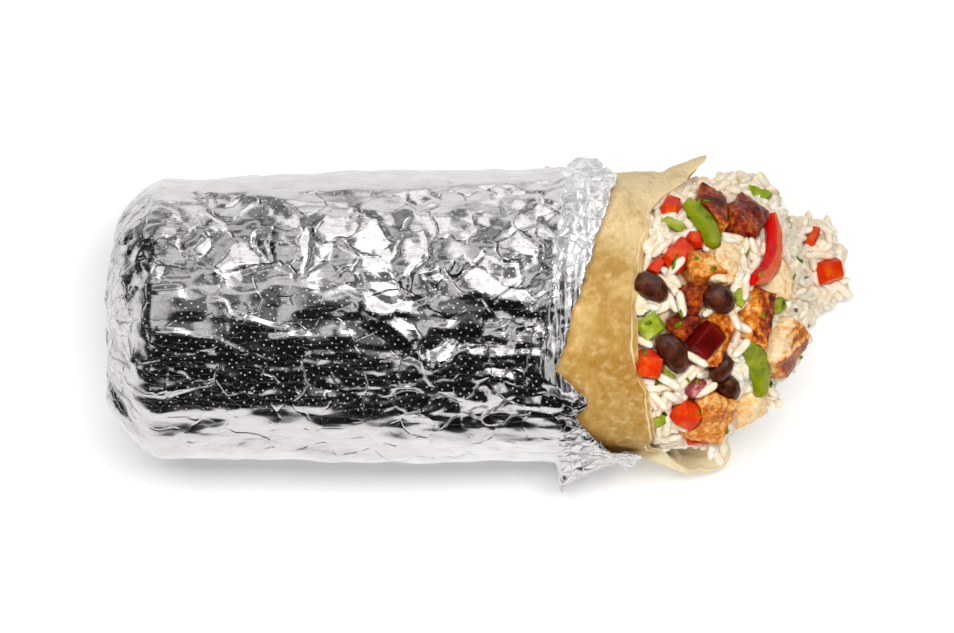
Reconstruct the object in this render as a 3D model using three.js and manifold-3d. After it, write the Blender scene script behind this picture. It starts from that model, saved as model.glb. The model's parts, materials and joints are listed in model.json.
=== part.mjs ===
// A burrito in a foil wrap, lying on its side, its open end heaped with rice, chicken, beans and vegetables.
// Millimetres. +X runs along the roll to the open end and +Z is up. The origin is on the surface
// that the roll lies on, under the middle of the foil.

import * as THREE from 'three';
import { ConvexGeometry } from 'three/addons/geometries/ConvexGeometry.js';
import { mergeVertices } from 'three/addons/utils/BufferGeometryUtils.js';
import Module from 'manifold-3d';

const wasm = await Module();
wasm.setup();

const DEGREE = Math.PI / 180;
const TURN = 360;

// The roll: an oval section, pressed flat where it lies, a little wider at the mouth
const ROLL_WIDTH = 75;
const ROLL_RISE = 34.5; // top of the foil above the axis
const AXIS_HEIGHT = 32; // the axis above the surface below
const ROLL_MEAN_RADIUS = 36;
const ROLL_TAPER = 0.0005; // share that the section widens with each millimetre towards the mouth
const CLOSED_END = -76.5;
const END_ROUNDING = 13; // length of the bevel round the closed end
const END_DRAW_IN = 17; // and how far it draws the end in
const END_BEVEL = 1.5; // from a round edge at 1 to a flat bevel at 2
const END_DOME = 2.5;
const SIDE_START = CLOSED_END + END_DOME + END_ROUNDING;
const CLEARANCE = 0.35; // gap between neighbouring pieces

// The layers, each set in from the outside of the foil
const FOIL_DEPTH = 2; // the sheet with the depth of its creases
const FOIL_LIP = 0.9;
const TORTILLA_INSET = FOIL_DEPTH + CLEARANCE;
const TORTILLA_THICKNESS = 2;
const FILLING_INSET = TORTILLA_INSET + TORTILLA_THICKNESS + 2 * CLEARANCE;
const UNDERSIDE_PRESS = 0.8; // how much closer together the layers lie on the flat underside

// The foil's creases, its cuff along the torn edge, and the two places where the edge stands away
const FOIL_COLUMNS = 50;
const FOIL_SIDE_RINGS = 19; // as far as the torn part
const FOIL_TORN_RINGS = [0.1, 0.3, 0.55, 0.8, 1]; // shares of the torn part, up to its edge
const TORN_LEAST = 6; // least length of the torn part
const FOIL_WANDER = 0.22; // how far crease points wander, as a share of their spacing
const FOIL_CRUMPLE = 0.5;
const FOIL_FOLD = { height: 0.4, around: 11, slant: 0.045 };
const FOIL_LINING = [4, 10, 20]; // rings of the inner face, as distances from the torn edge
const CUFF = { height: 0.8, angle: 34, spread: 66, widthLow: 4, widthHigh: 12 };
const FLAP = { reach: 14, angle: -122, spread: 34, start: 40.5, full: 42.5, end: 70, endShare: 0.45 };
const CURL = { reach: 3.2, angle: 92, spread: 22, length: 10 };
// Torn edge as angle from the top towards +Y in degrees, and distance along the roll
const FOIL_EDGE = [
  [-180, 57], [-150, 58], [-110, 60], [-82, 63.5], [-71, 54], [-60, 49], [-52, 44.5], [-43, 48.5], [-37, 46],
  [-30, 40], [2, 45.5], [26, 51], [39, 54], [57, 55.5], [80, 52], [100, 48], [130, 51], [180, 57],
];
const EDGE_RAGGED = 0.8;

// The tortilla: an outer layer, and an inner one that shows past it on the far side of the mouth
const TORTILLA_COLUMNS = 42;
const TORTILLA_EDGE = [
  [-180, 80], [-150, 85], [-132, 88.5], [-116, 80], [-105, 69], [-97, 64], [-50, 62.3], [-32, 61], [-27, 58.5],
  [-7, 57.8], [13, 59.3], [22, 61.3], [40, 62.3], [58, 64.2], [80, 66], [100, 68], [130, 74], [180, 80],
];
const INNER_LAYER = { step: 1.2, length: 1.5, reach: 12.5, angle: 78, spread: 42 };
const TORTILLA_COLLAR = { swell: 1.1, length: 9 };
const TORTILLA_FLAP = { reach: 8, angle: -124, spread: 40, start: 66, full: 80 };
const TORTILLA_FLARE = { reach: 5, rise: 3, angle: 80, spread: 30, start: 66, full: 79 };
const TORTILLA_WAVE = 0.35;
const LOWEST_SHEET = 0.4; // height of loose sheet ends above the surface below

// The filling bulges out of the mouth as a dome and has spilled on two sides
const HEAP_COLUMNS = 32;
const HEAP_START = 58;
const HEAP_END = 106;
const HEAP_FULLNESS = { along: 2.4, across: 2.6 };
const HEAP_DRIFT = 5; // how far the dome's tip lies towards +Y
const HEAP_FOOT = { start: 84, end: 98, height: 0.5 };
const HEAP_SPREAD = { start: 66, end: 96, power: 0.5 }; // the dome's lower half spreads to a broad foot
const SPILLS = [
  { at: [108.5, 16.5], half: [10.5, 13], height: 8.5 },
  { at: [92, 32.5], half: [10, 8], height: 13 },
];

// Chicken: how far corners are drawn in and the middles of sides wander, as shares of a chunk's half size
const CHUNK = { corner: 0.42, side: 0.4 };

// Rice
const GRAIN = { length: 7.2, radius: 1.15, sides: 5, sunk: 0.2 };
const GRAIN_COUNT = 28;
const GRAIN_SEARCH = { from: [60, -35], to: [119, 40] };
const GRAIN_ROOM = 1; // least distance from the middle of a grain to a larger piece
const GRAIN_FROM_RIM = 4; // and from the tortilla's edge

// Small helpers

// Repeatable random numbers from 0 to 1.
function randomSource(seed) {
  let state = seed >>> 0;
  return () => {
    state = (state + 0x6d2b79f5) >>> 0;
    let mixed = Math.imul(state ^ (state >>> 15), state | 1);
    mixed ^= mixed + Math.imul(mixed ^ (mixed >>> 7), mixed | 61);
    return ((mixed ^ (mixed >>> 14)) >>> 0) / 4294967296;
  };
}

function smooth(value, from, to) {
  return THREE.MathUtils.smoothstep(value, from, to);
}

// One at the centre angle, falling to nothing at the spread on either side; degrees.
function window(angle, centre, spread) {
  const away = Math.abs(((angle - centre + 1.5 * TURN) % TURN) - TURN / 2);
  return away < spread ? Math.cos((away / spread) * 90 * DEGREE) ** 2 : 0;
}

// Value at an angle between knots of [angle, value], from -180 to 180 degrees.
function between(knots, angle) {
  const wrapped = ((angle + 1.5 * TURN) % TURN) - TURN / 2;
  const next = Math.max(1, knots.findIndex((knot) => knot[0] >= wrapped));
  const [low, high] = [knots[next - 1], knots[next]];
  return THREE.MathUtils.mapLinear(wrapped, low[0], high[0], low[1], high[1]);
}

function columnAngles(count) {
  return Array.from({ length: count }, (_, column) => -TURN / 2 + (TURN * column) / count);
}

// Solids

// Closed surface through rings of points, from a first pole to a last one.
function loft(firstPole, rings, lastPole) {
  const columns = rings[0].length;
  const points = [firstPole, ...rings.flat(), lastPole];
  const last = points.length - 1;
  const at = (ring, column) => 1 + ring * columns + (column % columns);
  const index = [];
  for (let column = 0; column < columns; column++) {
    index.push(0, at(0, column), at(0, column + 1));
    for (let ring = 0; ring + 1 < rings.length; ring++) {
      const [a, b] = [at(ring, column), at(ring, column + 1)];
      const [c, d] = [at(ring + 1, column), at(ring + 1, column + 1)];
      if ((ring + column) % 2) index.push(a, c, b, b, c, d);
      else index.push(a, c, d, a, d, b);
    }
    index.push(last, at(rings.length - 1, column + 1), at(rings.length - 1, column));
  }
  return new THREE.BufferGeometry().setFromPoints(points).setIndex(index);
}

function solidFrom(geometry) {
  const bare = geometry.clone();
  bare.deleteAttribute('normal');
  bare.deleteAttribute('uv');
  const merged = mergeVertices(bare);
  return new wasm.Manifold(new wasm.Mesh({
    numProp: 3,
    vertProperties: merged.attributes.position.array,
    triVerts: new Uint32Array(merged.index.array),
  }));
}

function geometryFrom(solid) {
  const mesh = solid.getMesh();
  const geometry = new THREE.BufferGeometry();
  geometry.setAttribute('position', new THREE.BufferAttribute(mesh.vertProperties.slice(), 3));
  geometry.setIndex(new THREE.BufferAttribute(mesh.triVerts.slice(), 1));
  geometry.computeVertexNormals();
  return geometry;
}

function largestBody(solid) {
  return solid.decompose().reduce((best, body) => (body.volume() > best.volume() ? body : best));
}

// The roll's section

// A layer lies higher on the flat underside the further in it is.
function floorOf(inset) {
  return Math.max(0, inset - UNDERSIDE_PRESS);
}

// Point at an angle from the top towards +Y in degrees, set in from the outside and drawn in towards the axis.
function sectionPoint(x, angle, inset, scale = 1) {
  const widen = 1 + ROLL_TAPER * x;
  const y = ((ROLL_WIDTH / 2) * widen - inset) * scale * Math.sin(angle * DEGREE);
  const z = AXIS_HEIGHT + (ROLL_RISE * widen - inset) * scale * Math.cos(angle * DEGREE);
  return new THREE.Vector3(x, y, Math.max(z, floorOf(inset)));
}

// Outward direction, where lean runs from 0 on the end's face to 90 degrees on the side.
function outward(angle, lean) {
  const side = Math.sin(lean * DEGREE);
  const [across, up] = [Math.sin(angle * DEGREE), Math.cos(angle * DEGREE)];
  return new THREE.Vector3(-Math.cos(lean * DEGREE), side * across, side * up);
}

// The domed face and round corner of the closed end, from the middle outwards.
function endStations(inset, faceShares, leans) {
  const face = CLOSED_END + inset;
  const flat = 1 - END_DRAW_IN / ROLL_MEAN_RADIUS;
  const onFace = faceShares.map((share) => ({ x: face + END_DOME * share ** 2, scale: flat * share, lean: 0 }));
  const onCorner = leans.map((lean) => ({
    x: face + END_DOME + (END_ROUNDING - inset) * (1 - Math.max(0, Math.cos(lean * DEGREE)) ** END_BEVEL),
    scale: flat + (1 - flat) * Math.sin(lean * DEGREE) ** END_BEVEL,
    lean,
  }));
  return [...onFace, ...onCorner];
}

function endPole(inset) {
  return new THREE.Vector3(CLOSED_END + inset, 0, AXIS_HEIGHT);
}

// The closed end of a layer inside the foil, in fewer rings.
function innerEndRings(inset, angles) {
  const stations = endStations(inset, [], [0, 45, 90]);
  return stations.map(({ x, scale }) => angles.map((angle) => sectionPoint(x, angle, inset, scale)));
}

// Foil

// How far the foil stands off the roll: its cuff, the torn flap near the surface below, and the curled lip.
function foilStandOff(x, angle, edge) {
  const cuffShare = window(angle, CUFF.angle, CUFF.spread);
  const cuffWidth = THREE.MathUtils.lerp(CUFF.widthLow, CUFF.widthHigh, smooth(angle, -30, 60));
  const cuffStart = edge - cuffWidth;
  const cuff = CUFF.height * Math.min(1, 2 * cuffShare) * smooth(x, cuffStart - 0.8, cuffStart + 0.8);
  const flapFall = THREE.MathUtils.mapLinear(x, FLAP.full, FLAP.end, 1, FLAP.endShare);
  const flap = FLAP.reach * window(angle, FLAP.angle, FLAP.spread) * smooth(x, FLAP.start, FLAP.full) * flapFall;
  const curl = CURL.reach * window(angle, CURL.angle, CURL.spread) * smooth(x, edge - CURL.length, edge - 1);
  return cuff + flap + curl;
}

function foilGeometry() {
  const random = randomSource(11);
  const spread = (amount) => amount * (2 * random() - 1);
  const angles = columnAngles(FOIL_COLUMNS);
  const edges = angles.map((angle) => between(FOIL_EDGE, angle) + spread(EDGE_RAGGED));
  const columnStep = TURN / FOIL_COLUMNS;

  // The outer face is creased, apart from the flat underside.
  const creased = (base, angle, lean, standOff, share) => {
    if (base.z <= 0) return base;
    const fold = FOIL_FOLD.height * Math.sin(FOIL_FOLD.around * angle * DEGREE + FOIL_FOLD.slant * base.x);
    const height = standOff + share * (fold * window(angle, -70, 110) + spread(FOIL_CRUMPLE));
    base.addScaledVector(outward(angle, lean), height);
    base.z = Math.max(base.z, 0);
    return base;
  };
  const rings = endStations(0, [0.35, 0.7], [0, 30, 60, 90]).map(({ x, scale, lean }) =>
    angles.map((angle) => creased(sectionPoint(x, angle, 0, scale), angle, lean, 0, 1)));
  const tornStarts = edges.map((edge) => Math.min(FLAP.start, edge - TORN_LEAST));
  for (let ring = 1; ring <= FOIL_SIDE_RINGS; ring++) {
    rings.push(angles.map((angle, column) => {
      const share = (ring + spread(FOIL_WANDER)) / FOIL_SIDE_RINGS;
      const x = THREE.MathUtils.lerp(SIDE_START, tornStarts[column], Math.min(1, share));
      const turned = angle + spread(FOIL_WANDER) * columnStep;
      return creased(sectionPoint(x, turned, 0), turned, 90, foilStandOff(x, turned, edges[column]), 1);
    }));
  }
  for (const share of FOIL_TORN_RINGS) {
    rings.push(angles.map((angle, column) => {
      const x = THREE.MathUtils.lerp(tornStarts[column], edges[column], share);
      const standOff = foilStandOff(x, angle, edges[column]);
      return creased(sectionPoint(x, angle, 0), angle, 90, standOff, 1 - 0.6 * share);
    }));
  }
  // The inner face is smooth and closes up towards the edge, so that the lip is thin.
  for (const distance of [0, ...FOIL_LINING]) {
    rings.push(angles.map((angle, column) => {
      const x = edges[column] - distance;
      const inset = Math.min(FOIL_DEPTH, FOIL_LIP + distance * 0.25);
      const base = sectionPoint(x, angle, inset);
      base.addScaledVector(outward(angle, 90), foilStandOff(x, angle, edges[column]));
      base.z = Math.max(base.z, floorOf(inset) || FOIL_LIP * 0.9);
      return base;
    }));
  }
  rings.push(...innerEndRings(FOIL_DEPTH, angles).reverse());
  return loft(endPole(0), rings, endPole(FOIL_DEPTH));
}

// Tortilla

// A point of the sheet after its loose end has flopped down or flared out.
function settleSheet(point, angle, height) {
  const flap = window(angle, TORTILLA_FLAP.angle, TORTILLA_FLAP.spread)
    * smooth(point.x, TORTILLA_FLAP.start, TORTILLA_FLAP.full);
  const flare = window(angle, TORTILLA_FLARE.angle, TORTILLA_FLARE.spread)
    * smooth(point.x, TORTILLA_FLARE.start, TORTILLA_FLARE.full);
  point.y += TORTILLA_FLARE.reach * flare - TORTILLA_FLAP.reach * flap;
  point.z += TORTILLA_FLARE.rise * flare;
  point.z = THREE.MathUtils.lerp(point.z, LOWEST_SHEET + height, 0.85 * flap);
  point.z = Math.max(point.z, LOWEST_SHEET + height);
  return point;
}

// How far the inner layer shows past the outer one's rim.
function innerReach(angle) {
  return INNER_LAYER.length + INNER_LAYER.reach * window(angle, INNER_LAYER.angle, INNER_LAYER.spread);
}

// The sheet, grown on all sides where it is used to cut its neighbours.
function tortillaGeometry(grow = 0) {
  const random = randomSource(23);
  const angles = columnAngles(TORTILLA_COLUMNS);
  const waves = angles.map(() => TORTILLA_WAVE * (2 * random() - 1));
  const rims = angles.map((angle, column) => between(TORTILLA_EDGE, angle) + 2 * waves[column]);
  const foilEdges = angles.map((angle) => between(FOIL_EDGE, angle));
  const reaches = angles.map(innerReach);

  const point = (x, column, depth) => {
    const angle = angles[column];
    const past = smooth(x, foilEdges[column] + 1, foilEdges[column] + TORTILLA_COLLAR.length);
    const inset = TORTILLA_INSET + depth - past * (TORTILLA_COLLAR.swell + waves[column]);
    const base = sectionPoint(x, angle, inset);
    const sag = past * (floorOf(TORTILLA_INSET) - LOWEST_SHEET);
    if (base.z <= floorOf(inset)) base.z -= sag;
    return settleSheet(base, angle, depth + grow);
  };
  const ring = (place) => angles.map((_, column) => point(...place(column)));
  const outer = -grow;
  const inner = TORTILLA_THICKNESS + grow;
  const step = INNER_LAYER.step - grow;
  const rings = innerEndRings(TORTILLA_INSET - grow, angles);
  for (const share of [0.35, 0.6, 0.75, 0.85, 0.93]) {
    rings.push(ring((column) => [THREE.MathUtils.lerp(SIDE_START, rims[column], share), column, outer]));
  }
  rings.push(ring((column) => [rims[column] + grow, column, outer]));
  rings.push(ring((column) => [rims[column] + grow + 0.3, column, step]));
  rings.push(ring((column) => [rims[column] + grow + 0.5 * reaches[column], column, step]));
  rings.push(ring((column) => [rims[column] + 2 * grow + reaches[column], column, step]));
  rings.push(ring((column) => [rims[column] + 2 * grow + reaches[column], column, inner]));
  for (const distance of [0.5, 1]) {
    rings.push(ring((column) => [rims[column] + reaches[column] * (1 - distance), column, inner]));
  }
  for (const share of [0.93, 0.8, 0.4]) {
    rings.push(ring((column) => [THREE.MathUtils.lerp(SIDE_START, rims[column], share), column, inner]));
  }
  rings.push(...innerEndRings(TORTILLA_INSET + inner, angles).reverse());
  return loft(endPole(TORTILLA_INSET - grow), rings, endPole(TORTILLA_INSET + inner));
}

// The heap's surface

// Section of the filling: full inside the roll, drawn in to a dome past the mouth.
function heapSection(x) {
  const widen = 1 + ROLL_TAPER * x;
  const share = THREE.MathUtils.clamp((x - HEAP_START) / (HEAP_END - HEAP_START), 0, 1);
  const size = (1 - share ** HEAP_FULLNESS.along) ** (1 / HEAP_FULLNESS.across);
  const settled = smooth(x, HEAP_FOOT.start, HEAP_FOOT.end);
  const foot = THREE.MathUtils.lerp(floorOf(FILLING_INSET), HEAP_FOOT.height, settled);
  return {
    middle: HEAP_DRIFT * share ** 2,
    halfWidth: ((ROLL_WIDTH / 2) * widen - FILLING_INSET) * size,
    rise: (ROLL_RISE * widen - FILLING_INSET) * size,
    centre: foot + (AXIS_HEIGHT - foot) * size,
    foot,
  };
}

function heapPoint(x, angle) {
  const { middle, halfWidth, rise, centre, foot } = heapSection(x);
  const [side, up] = [Math.sin(angle * DEGREE), Math.cos(angle * DEGREE)];
  const spread = up < 0 ? smooth(x, HEAP_SPREAD.start, HEAP_SPREAD.end) : 0;
  const power = THREE.MathUtils.lerp(1, HEAP_SPREAD.power, spread);
  const y = middle + halfWidth * Math.sign(side) * Math.abs(side) ** power;
  const z = centre + rise * Math.sign(up) * Math.abs(up) ** power;
  return new THREE.Vector3(x, y, Math.max(z, foot));
}

// Height of the dome or of a spill, whichever is higher, at a place seen from above.
function heapHeight(x, y) {
  const { middle, halfWidth, rise, centre } = heapSection(Math.min(x, HEAP_END - 0.5));
  const across = THREE.MathUtils.clamp((y - middle) / halfWidth, -0.98, 0.98);
  const onDome = x < HEAP_END - 0.5 && Math.abs(y - middle) < halfWidth + 4;
  const dome = onDome ? centre + rise * Math.sqrt(1 - across ** 2) : 0;
  const spills = SPILLS.map(({ at, half, height }) => {
    const away = ((x - at[0]) / half[0]) ** 2 + ((y - at[1]) / half[1]) ** 2;
    return away < 1 ? height * Math.sqrt(1 - away) : 0;
  });
  return Math.max(dome, ...spills, 0);
}

function heapNormal(x, y) {
  const slopeX = heapHeight(x + 1, y) - heapHeight(x - 1, y);
  const slopeY = heapHeight(x, y + 1) - heapHeight(x, y - 1);
  return new THREE.Vector3(-slopeX, -slopeY, 2).normalize();
}

// Place on the heap: turned about the surface's own normal, and lifted off it or sunk into it.
function onHeap(x, y, lift, turn) {
  const normal = heapNormal(x, y);
  const lean = new THREE.Quaternion().setFromUnitVectors(new THREE.Vector3(0, 0, 1), normal);
  const spin = new THREE.Quaternion().setFromAxisAngle(new THREE.Vector3(0, 0, 1), turn * DEGREE);
  const position = new THREE.Vector3(x, y, heapHeight(x, y)).addScaledVector(normal, lift);
  return new THREE.Matrix4().compose(position, lean.multiply(spin), new THREE.Vector3(1, 1, 1));
}

// Shapes of the pieces, each about its own middle and grown on all sides by a margin

// A lump between a ball (power 2) and a block (higher powers), with uneven faces.
function lump(ball, size, power, uneven, seed, grow) {
  const random = randomSource(seed);
  ball.deleteAttribute('normal');
  ball.deleteAttribute('uv');
  const geometry = mergeVertices(ball);
  const position = geometry.attributes.position;
  const point = new THREE.Vector3();
  const half = new THREE.Vector3(...size).multiplyScalar(0.5).addScalar(grow);
  for (let i = 0; i < position.count; i++) {
    point.fromBufferAttribute(position, i);
    const sum = point.toArray().reduce((total, side) => total + Math.abs(side) ** power, 0);
    const fit = sum ** (-1 / power);
    point.multiplyScalar(fit * (1 + uneven * (2 * random() - 1))).multiply(half);
    position.setXYZ(i, point.x, point.y, point.z);
  }
  return geometry;
}

// A chunk of meat with flat cut faces: the hull of a block's drawn-in corners and the middles of its sides.
function chickenShape(size, seed, grow) {
  const random = randomSource(seed);
  const half = new THREE.Vector3(...size).multiplyScalar(0.5).addScalar(grow);
  const drawnIn = () => 1 - CHUNK.corner * random();
  const shifted = () => CHUNK.side * (2 * random() - 1);
  const points = [];
  for (const side of [-1, 1]) {
    points.push(new THREE.Vector3(side, shifted(), shifted()));
    points.push(new THREE.Vector3(shifted(), side, shifted()));
    points.push(new THREE.Vector3(shifted(), shifted(), side));
    for (const [y, z] of [[-1, -1], [-1, 1], [1, -1], [1, 1]]) {
      points.push(new THREE.Vector3(side * drawnIn(), y * drawnIn(), z * drawnIn()));
    }
  }
  return new ConvexGeometry(points.map((point) => point.multiply(half)));
}

function diceShape(size, seed, grow) {
  return lump(new THREE.OctahedronGeometry(1, 1).rotateZ(TURN / 8 * DEGREE), size, 6, 0.05, seed, grow);
}

// A plump bean with a slight hollow along one side.
function beanShape(size, seed, grow) {
  const geometry = lump(new THREE.IcosahedronGeometry(1, 1), size, 2.2, 0, seed, grow);
  const position = geometry.attributes.position;
  const [halfLength, halfWidth] = [size[0] / 2, size[1] / 2];
  for (let i = 0; i < position.count; i++) {
    const along = position.getX(i) / halfLength;
    position.setY(i, position.getY(i) - 0.22 * halfWidth * (along ** 2 - 0.4));
  }
  return geometry;
}

// A bent strip with narrowed ends; size is its length, width, thickness, and the angle it bends through.
function stripShape([length, width, thickness, bend], seed, grow) {
  const steps = 5;
  const radius = length / (bend * DEGREE);
  const section = [30, 90, 150, 210, 270, 330];
  const rise = length * bend / 800; // brings the bow's middle onto the origin
  const middleOf = (angle) =>
    new THREE.Vector3(radius * Math.sin(angle), radius * (Math.cos(angle) - 1) + rise, 0);
  const rings = [];
  for (let step = 0; step <= steps; step++) {
    const share = step / steps;
    const angle = (share - 0.5) * (bend * DEGREE + (2 * grow) / radius);
    const narrow = 0.55 + 0.45 * Math.sin(share * Math.PI) ** 0.5;
    const side = new THREE.Vector3(Math.sin(angle), Math.cos(angle), 0);
    rings.push(section.map((around) => middleOf(angle)
      .addScaledVector(side, (width / 2 * narrow + grow) * Math.sin(around * DEGREE))
      .add(new THREE.Vector3(0, 0, (thickness / 2 + grow) * Math.cos(around * DEGREE)))));
  }
  const [first, last] = [rings[0], rings[steps]].map((ring) =>
    ring.reduce((sum, point) => sum.add(point), new THREE.Vector3()).divideScalar(ring.length));
  return loft(first, rings, last);
}

// A flat leaf of three toothed lobes, wavy, with both faces split alike; size is its length, width and thickness.
function leafShape([length, width, thickness], seed, grow) {
  const points = 18;
  const outline = Array.from({ length: points }, (_, i) => {
    const angle = (TURN * i) / points;
    const lobes = 0.74 + 0.26 * Math.cos(3 * angle * DEGREE);
    const reach = lobes * (i % 2 ? 0.86 : 1);
    return [reach * (length / 2) * Math.cos(angle * DEGREE), reach * (width / 2) * Math.sin(angle * DEGREE)];
  });
  const face = (side, share) => outline.map(([x, y]) => {
    const wave = 0.7 * Math.sin(x * share * 0.9) * Math.cos(y * share * 0.7);
    const reach = share * (1 + grow / 4);
    return new THREE.Vector3(x * reach, y * reach, wave + side * (thickness / 2 + grow));
  });
  const pole = (side) => new THREE.Vector3(0, 0, side * (thickness / 2 + grow));
  const rings = [face(1, 0.5), face(1, 1), face(-1, 1), face(-1, 0.5)];
  return loft(pole(1), rings, pole(-1));
}

// A grain of cooked rice along X.
function grainShape() {
  const profile = [[0, -0.5], [0.72, -0.4], [1, 0], [0.72, 0.4], [0, 0.5]].map(([across, along]) =>
    new THREE.Vector2(across * GRAIN.radius, along * GRAIN.length));
  return new THREE.LatheGeometry(profile, GRAIN.sides).rotateZ(Math.PI / 2);
}

// The larger pieces: place on the heap, lift off its surface, turn in degrees, and size.
// Where two would meet, the one that comes first keeps its shape and the later one is cut back.
const PIECES = [
  { kind: 'bean', shape: beanShape, colour: 0x2a1611, roughness: 0.3, list: [
    [62.6, 2.3, 1.6, -25, [11.5, 7, 6.6]],
    [79.6, -0.4, 2.2, -20, [9.5, 7, 6.4]],
    [68.5, -13.3, 2, -55, [12, 7.2, 6.6]],
    [81, -16.6, 1.2, 60, [8.4, 5.4, 5.6]],
    [82.8, -20.8, 1.6, -60, [8.6, 6, 6]],
  ] },
  { kind: 'roast_pepper', shape: diceShape, colour: 0x5c0503, roughness: 0.35, list: [
    [76.3, -9.9, 2.4, 50, [9.5, 8, 6]],
  ] },
  { kind: 'tomato', shape: diceShape, colour: 0xd8350a, roughness: 0.35, list: [
    [69.1, 23.5, 0.8, 70, [6.5, 5, 5]],
    [70.5, 10.4, 1, 50, [9.4, 6.8, 5]],
    [64.8, 7.4, 0.8, 50, [6, 3.4, 4]],
    [74.6, 14.6, 0.6, 0, [4.6, 4.6, 4]],
    [62.9, -15.7, 1.8, -10, [7.6, 7.2, 6.4]],
    [72.4, -26.4, 2, -30, [7.6, 7.2, 6]],
    [76.5, -33, 0.8, 5, [6.4, 3.6, 4]],
    [114, 15.1, 2.4, 15, [8, 6.5, 6]],
    [110.8, 24.2, 1.2, 65, [7.5, 2.8, 3]],
  ] },
  { kind: 'green_dice', shape: diceShape, colour: 0x7f930f, roughness: 0.4, list: [
    [96, 0.6, 0.6, 30, [5.6, 5, 4]],
    [63.2, -7.3, 1, 35, [6.8, 6, 3]],
    [67.2, -19, 1, -40, [4.6, 3.6, 3]],
    [65.2, -29, 0.8, 45, [6.4, 3.6, 2.6]],
    [84.8, 0.4, 2.4, 60, [4.8, 3.8, 2.2]],
    [69.4, 18.6, 1.2, -30, [6.6, 2.6, 2.6]],
  ] },
  { kind: 'onion', shape: diceShape, colour: 0x9c4a4d, roughness: 0.35, list: [
    [74.4, -21, 1.4, 45, [6.2, 3.2, 3]],
  ] },
  { kind: 'red_pepper', shape: stripShape, colour: 0xb50d05, roughness: 0.3, list: [
    [91.4, 12.6, 2.8, -118, [26, 5.6, 4.4, 88]],
  ] },
  { kind: 'green_pepper', shape: stripShape, colour: 0x82900c, roughness: 0.35, list: [
    [76, 18.2, 2.6, -68, [15, 6.8, 3.6, 60]],
    [88.8, -15.2, 2.6, -56, [18.5, 7, 3.6, 50]],
  ] },
  { kind: 'cilantro', shape: leafShape, colour: 0x6f8c0a, roughness: 0.6, list: [
    [95.5, 34.2, 2, 20, [9.5, 8, 0.6]],
  ] },
  { kind: 'chicken', shape: chickenShape, colour: 0xd99a52, roughness: 0.55, list: [
    [78.7, 22.4, 0.4, 80, [13.5, 9.4, 9.5]],
    [86.9, 21, 1, 60, [13.4, 11.4, 10]],
    [81, 9, 0.2, 78, [13.6, 8.4, 9]],
    [76.6, 7.4, 1.4, 5, [11.6, 8.4, 8]],
    [95.4, 6.2, 0.6, 60, [11.4, 10.4, 9]],
    [73, -0.8, 0.8, 75, [8.8, 6.4, 7]],
    [71.4, -7.4, 0.4, 20, [9, 7.4, 7]],
    [78.8, -9.8, -0.4, 70, [14.8, 8, 9]],
    [89, -3.8, 0.8, 78, [15.6, 7.4, 9]],
    [96, -9, 1.4, 60, [16.6, 13, 12]],
    [77.8, -27, 0.8, 80, [18, 12, 11]],
    [88, -24.2, 0.6, 30, [11, 9.8, 9]],
  ] },
];

function pieceMeshes(tortilla) {
  const cutters = [];
  const meshes = [];
  for (const { kind, shape, colour, roughness, list } of PIECES) {
    const material = new THREE.MeshStandardMaterial({ color: colour, roughness, metalness: 0 });
    list.forEach(([x, y, lift, turn, size], number) => {
      const place = onHeap(x, y, lift, turn);
      const seed = 100 * (meshes.length + 1);
      const solid = (grow) => solidFrom(shape(size, seed, grow).applyMatrix4(place));
      const left = [tortilla, ...cutters].reduce((rest, cutter) => rest.subtract(cutter), solid(0));
      const cut = largestBody(left);
      cutters.push(solid(CLEARANCE));
      const mesh = new THREE.Mesh(geometryFrom(cut).applyMatrix4(place.clone().invert()), material);
      mesh.name = list.length > 1 ? `${kind}_${number + 1}` : kind;
      mesh.applyMatrix4(place);
      meshes.push(mesh);
    });
  }
  return { meshes, cutters };
}

// Rice heap

function heapCore() {
  const angles = columnAngles(HEAP_COLUMNS);
  const rings = innerEndRings(FILLING_INSET, angles);
  for (const share of [0.33, 0.67, 1]) {
    const x = THREE.MathUtils.lerp(SIDE_START, HEAP_START, share);
    rings.push(angles.map((angle) => heapPoint(x, angle)));
  }
  for (const share of [0.2, 0.36, 0.5, 0.63, 0.75, 0.85, 0.93, 0.98]) {
    const x = THREE.MathUtils.lerp(HEAP_START, HEAP_END, share);
    rings.push(angles.map((angle) => heapPoint(x, angle)));
  }
  const tip = new THREE.Vector3(HEAP_END, HEAP_DRIFT, 2 * HEAP_FOOT.height);
  return solidFrom(loft(endPole(FILLING_INSET), rings, tip));
}

// A low mound with a flat foot.
function spillSolid({ at, half, height }) {
  const angles = columnAngles(20);
  const ring = (lean, z) => angles.map((angle) => new THREE.Vector3(
    at[0] + half[0] * Math.sin(lean * DEGREE) * Math.cos(angle * DEGREE),
    at[1] + half[1] * Math.sin(lean * DEGREE) * Math.sin(angle * DEGREE),
    z ?? height * Math.cos(lean * DEGREE)));
  const rings = [ring(30), ring(55), ring(75), ring(80, HEAP_FOOT.height)];
  return solidFrom(loft(new THREE.Vector3(...at, height), rings, new THREE.Vector3(...at, HEAP_FOOT.height)));
}

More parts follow.
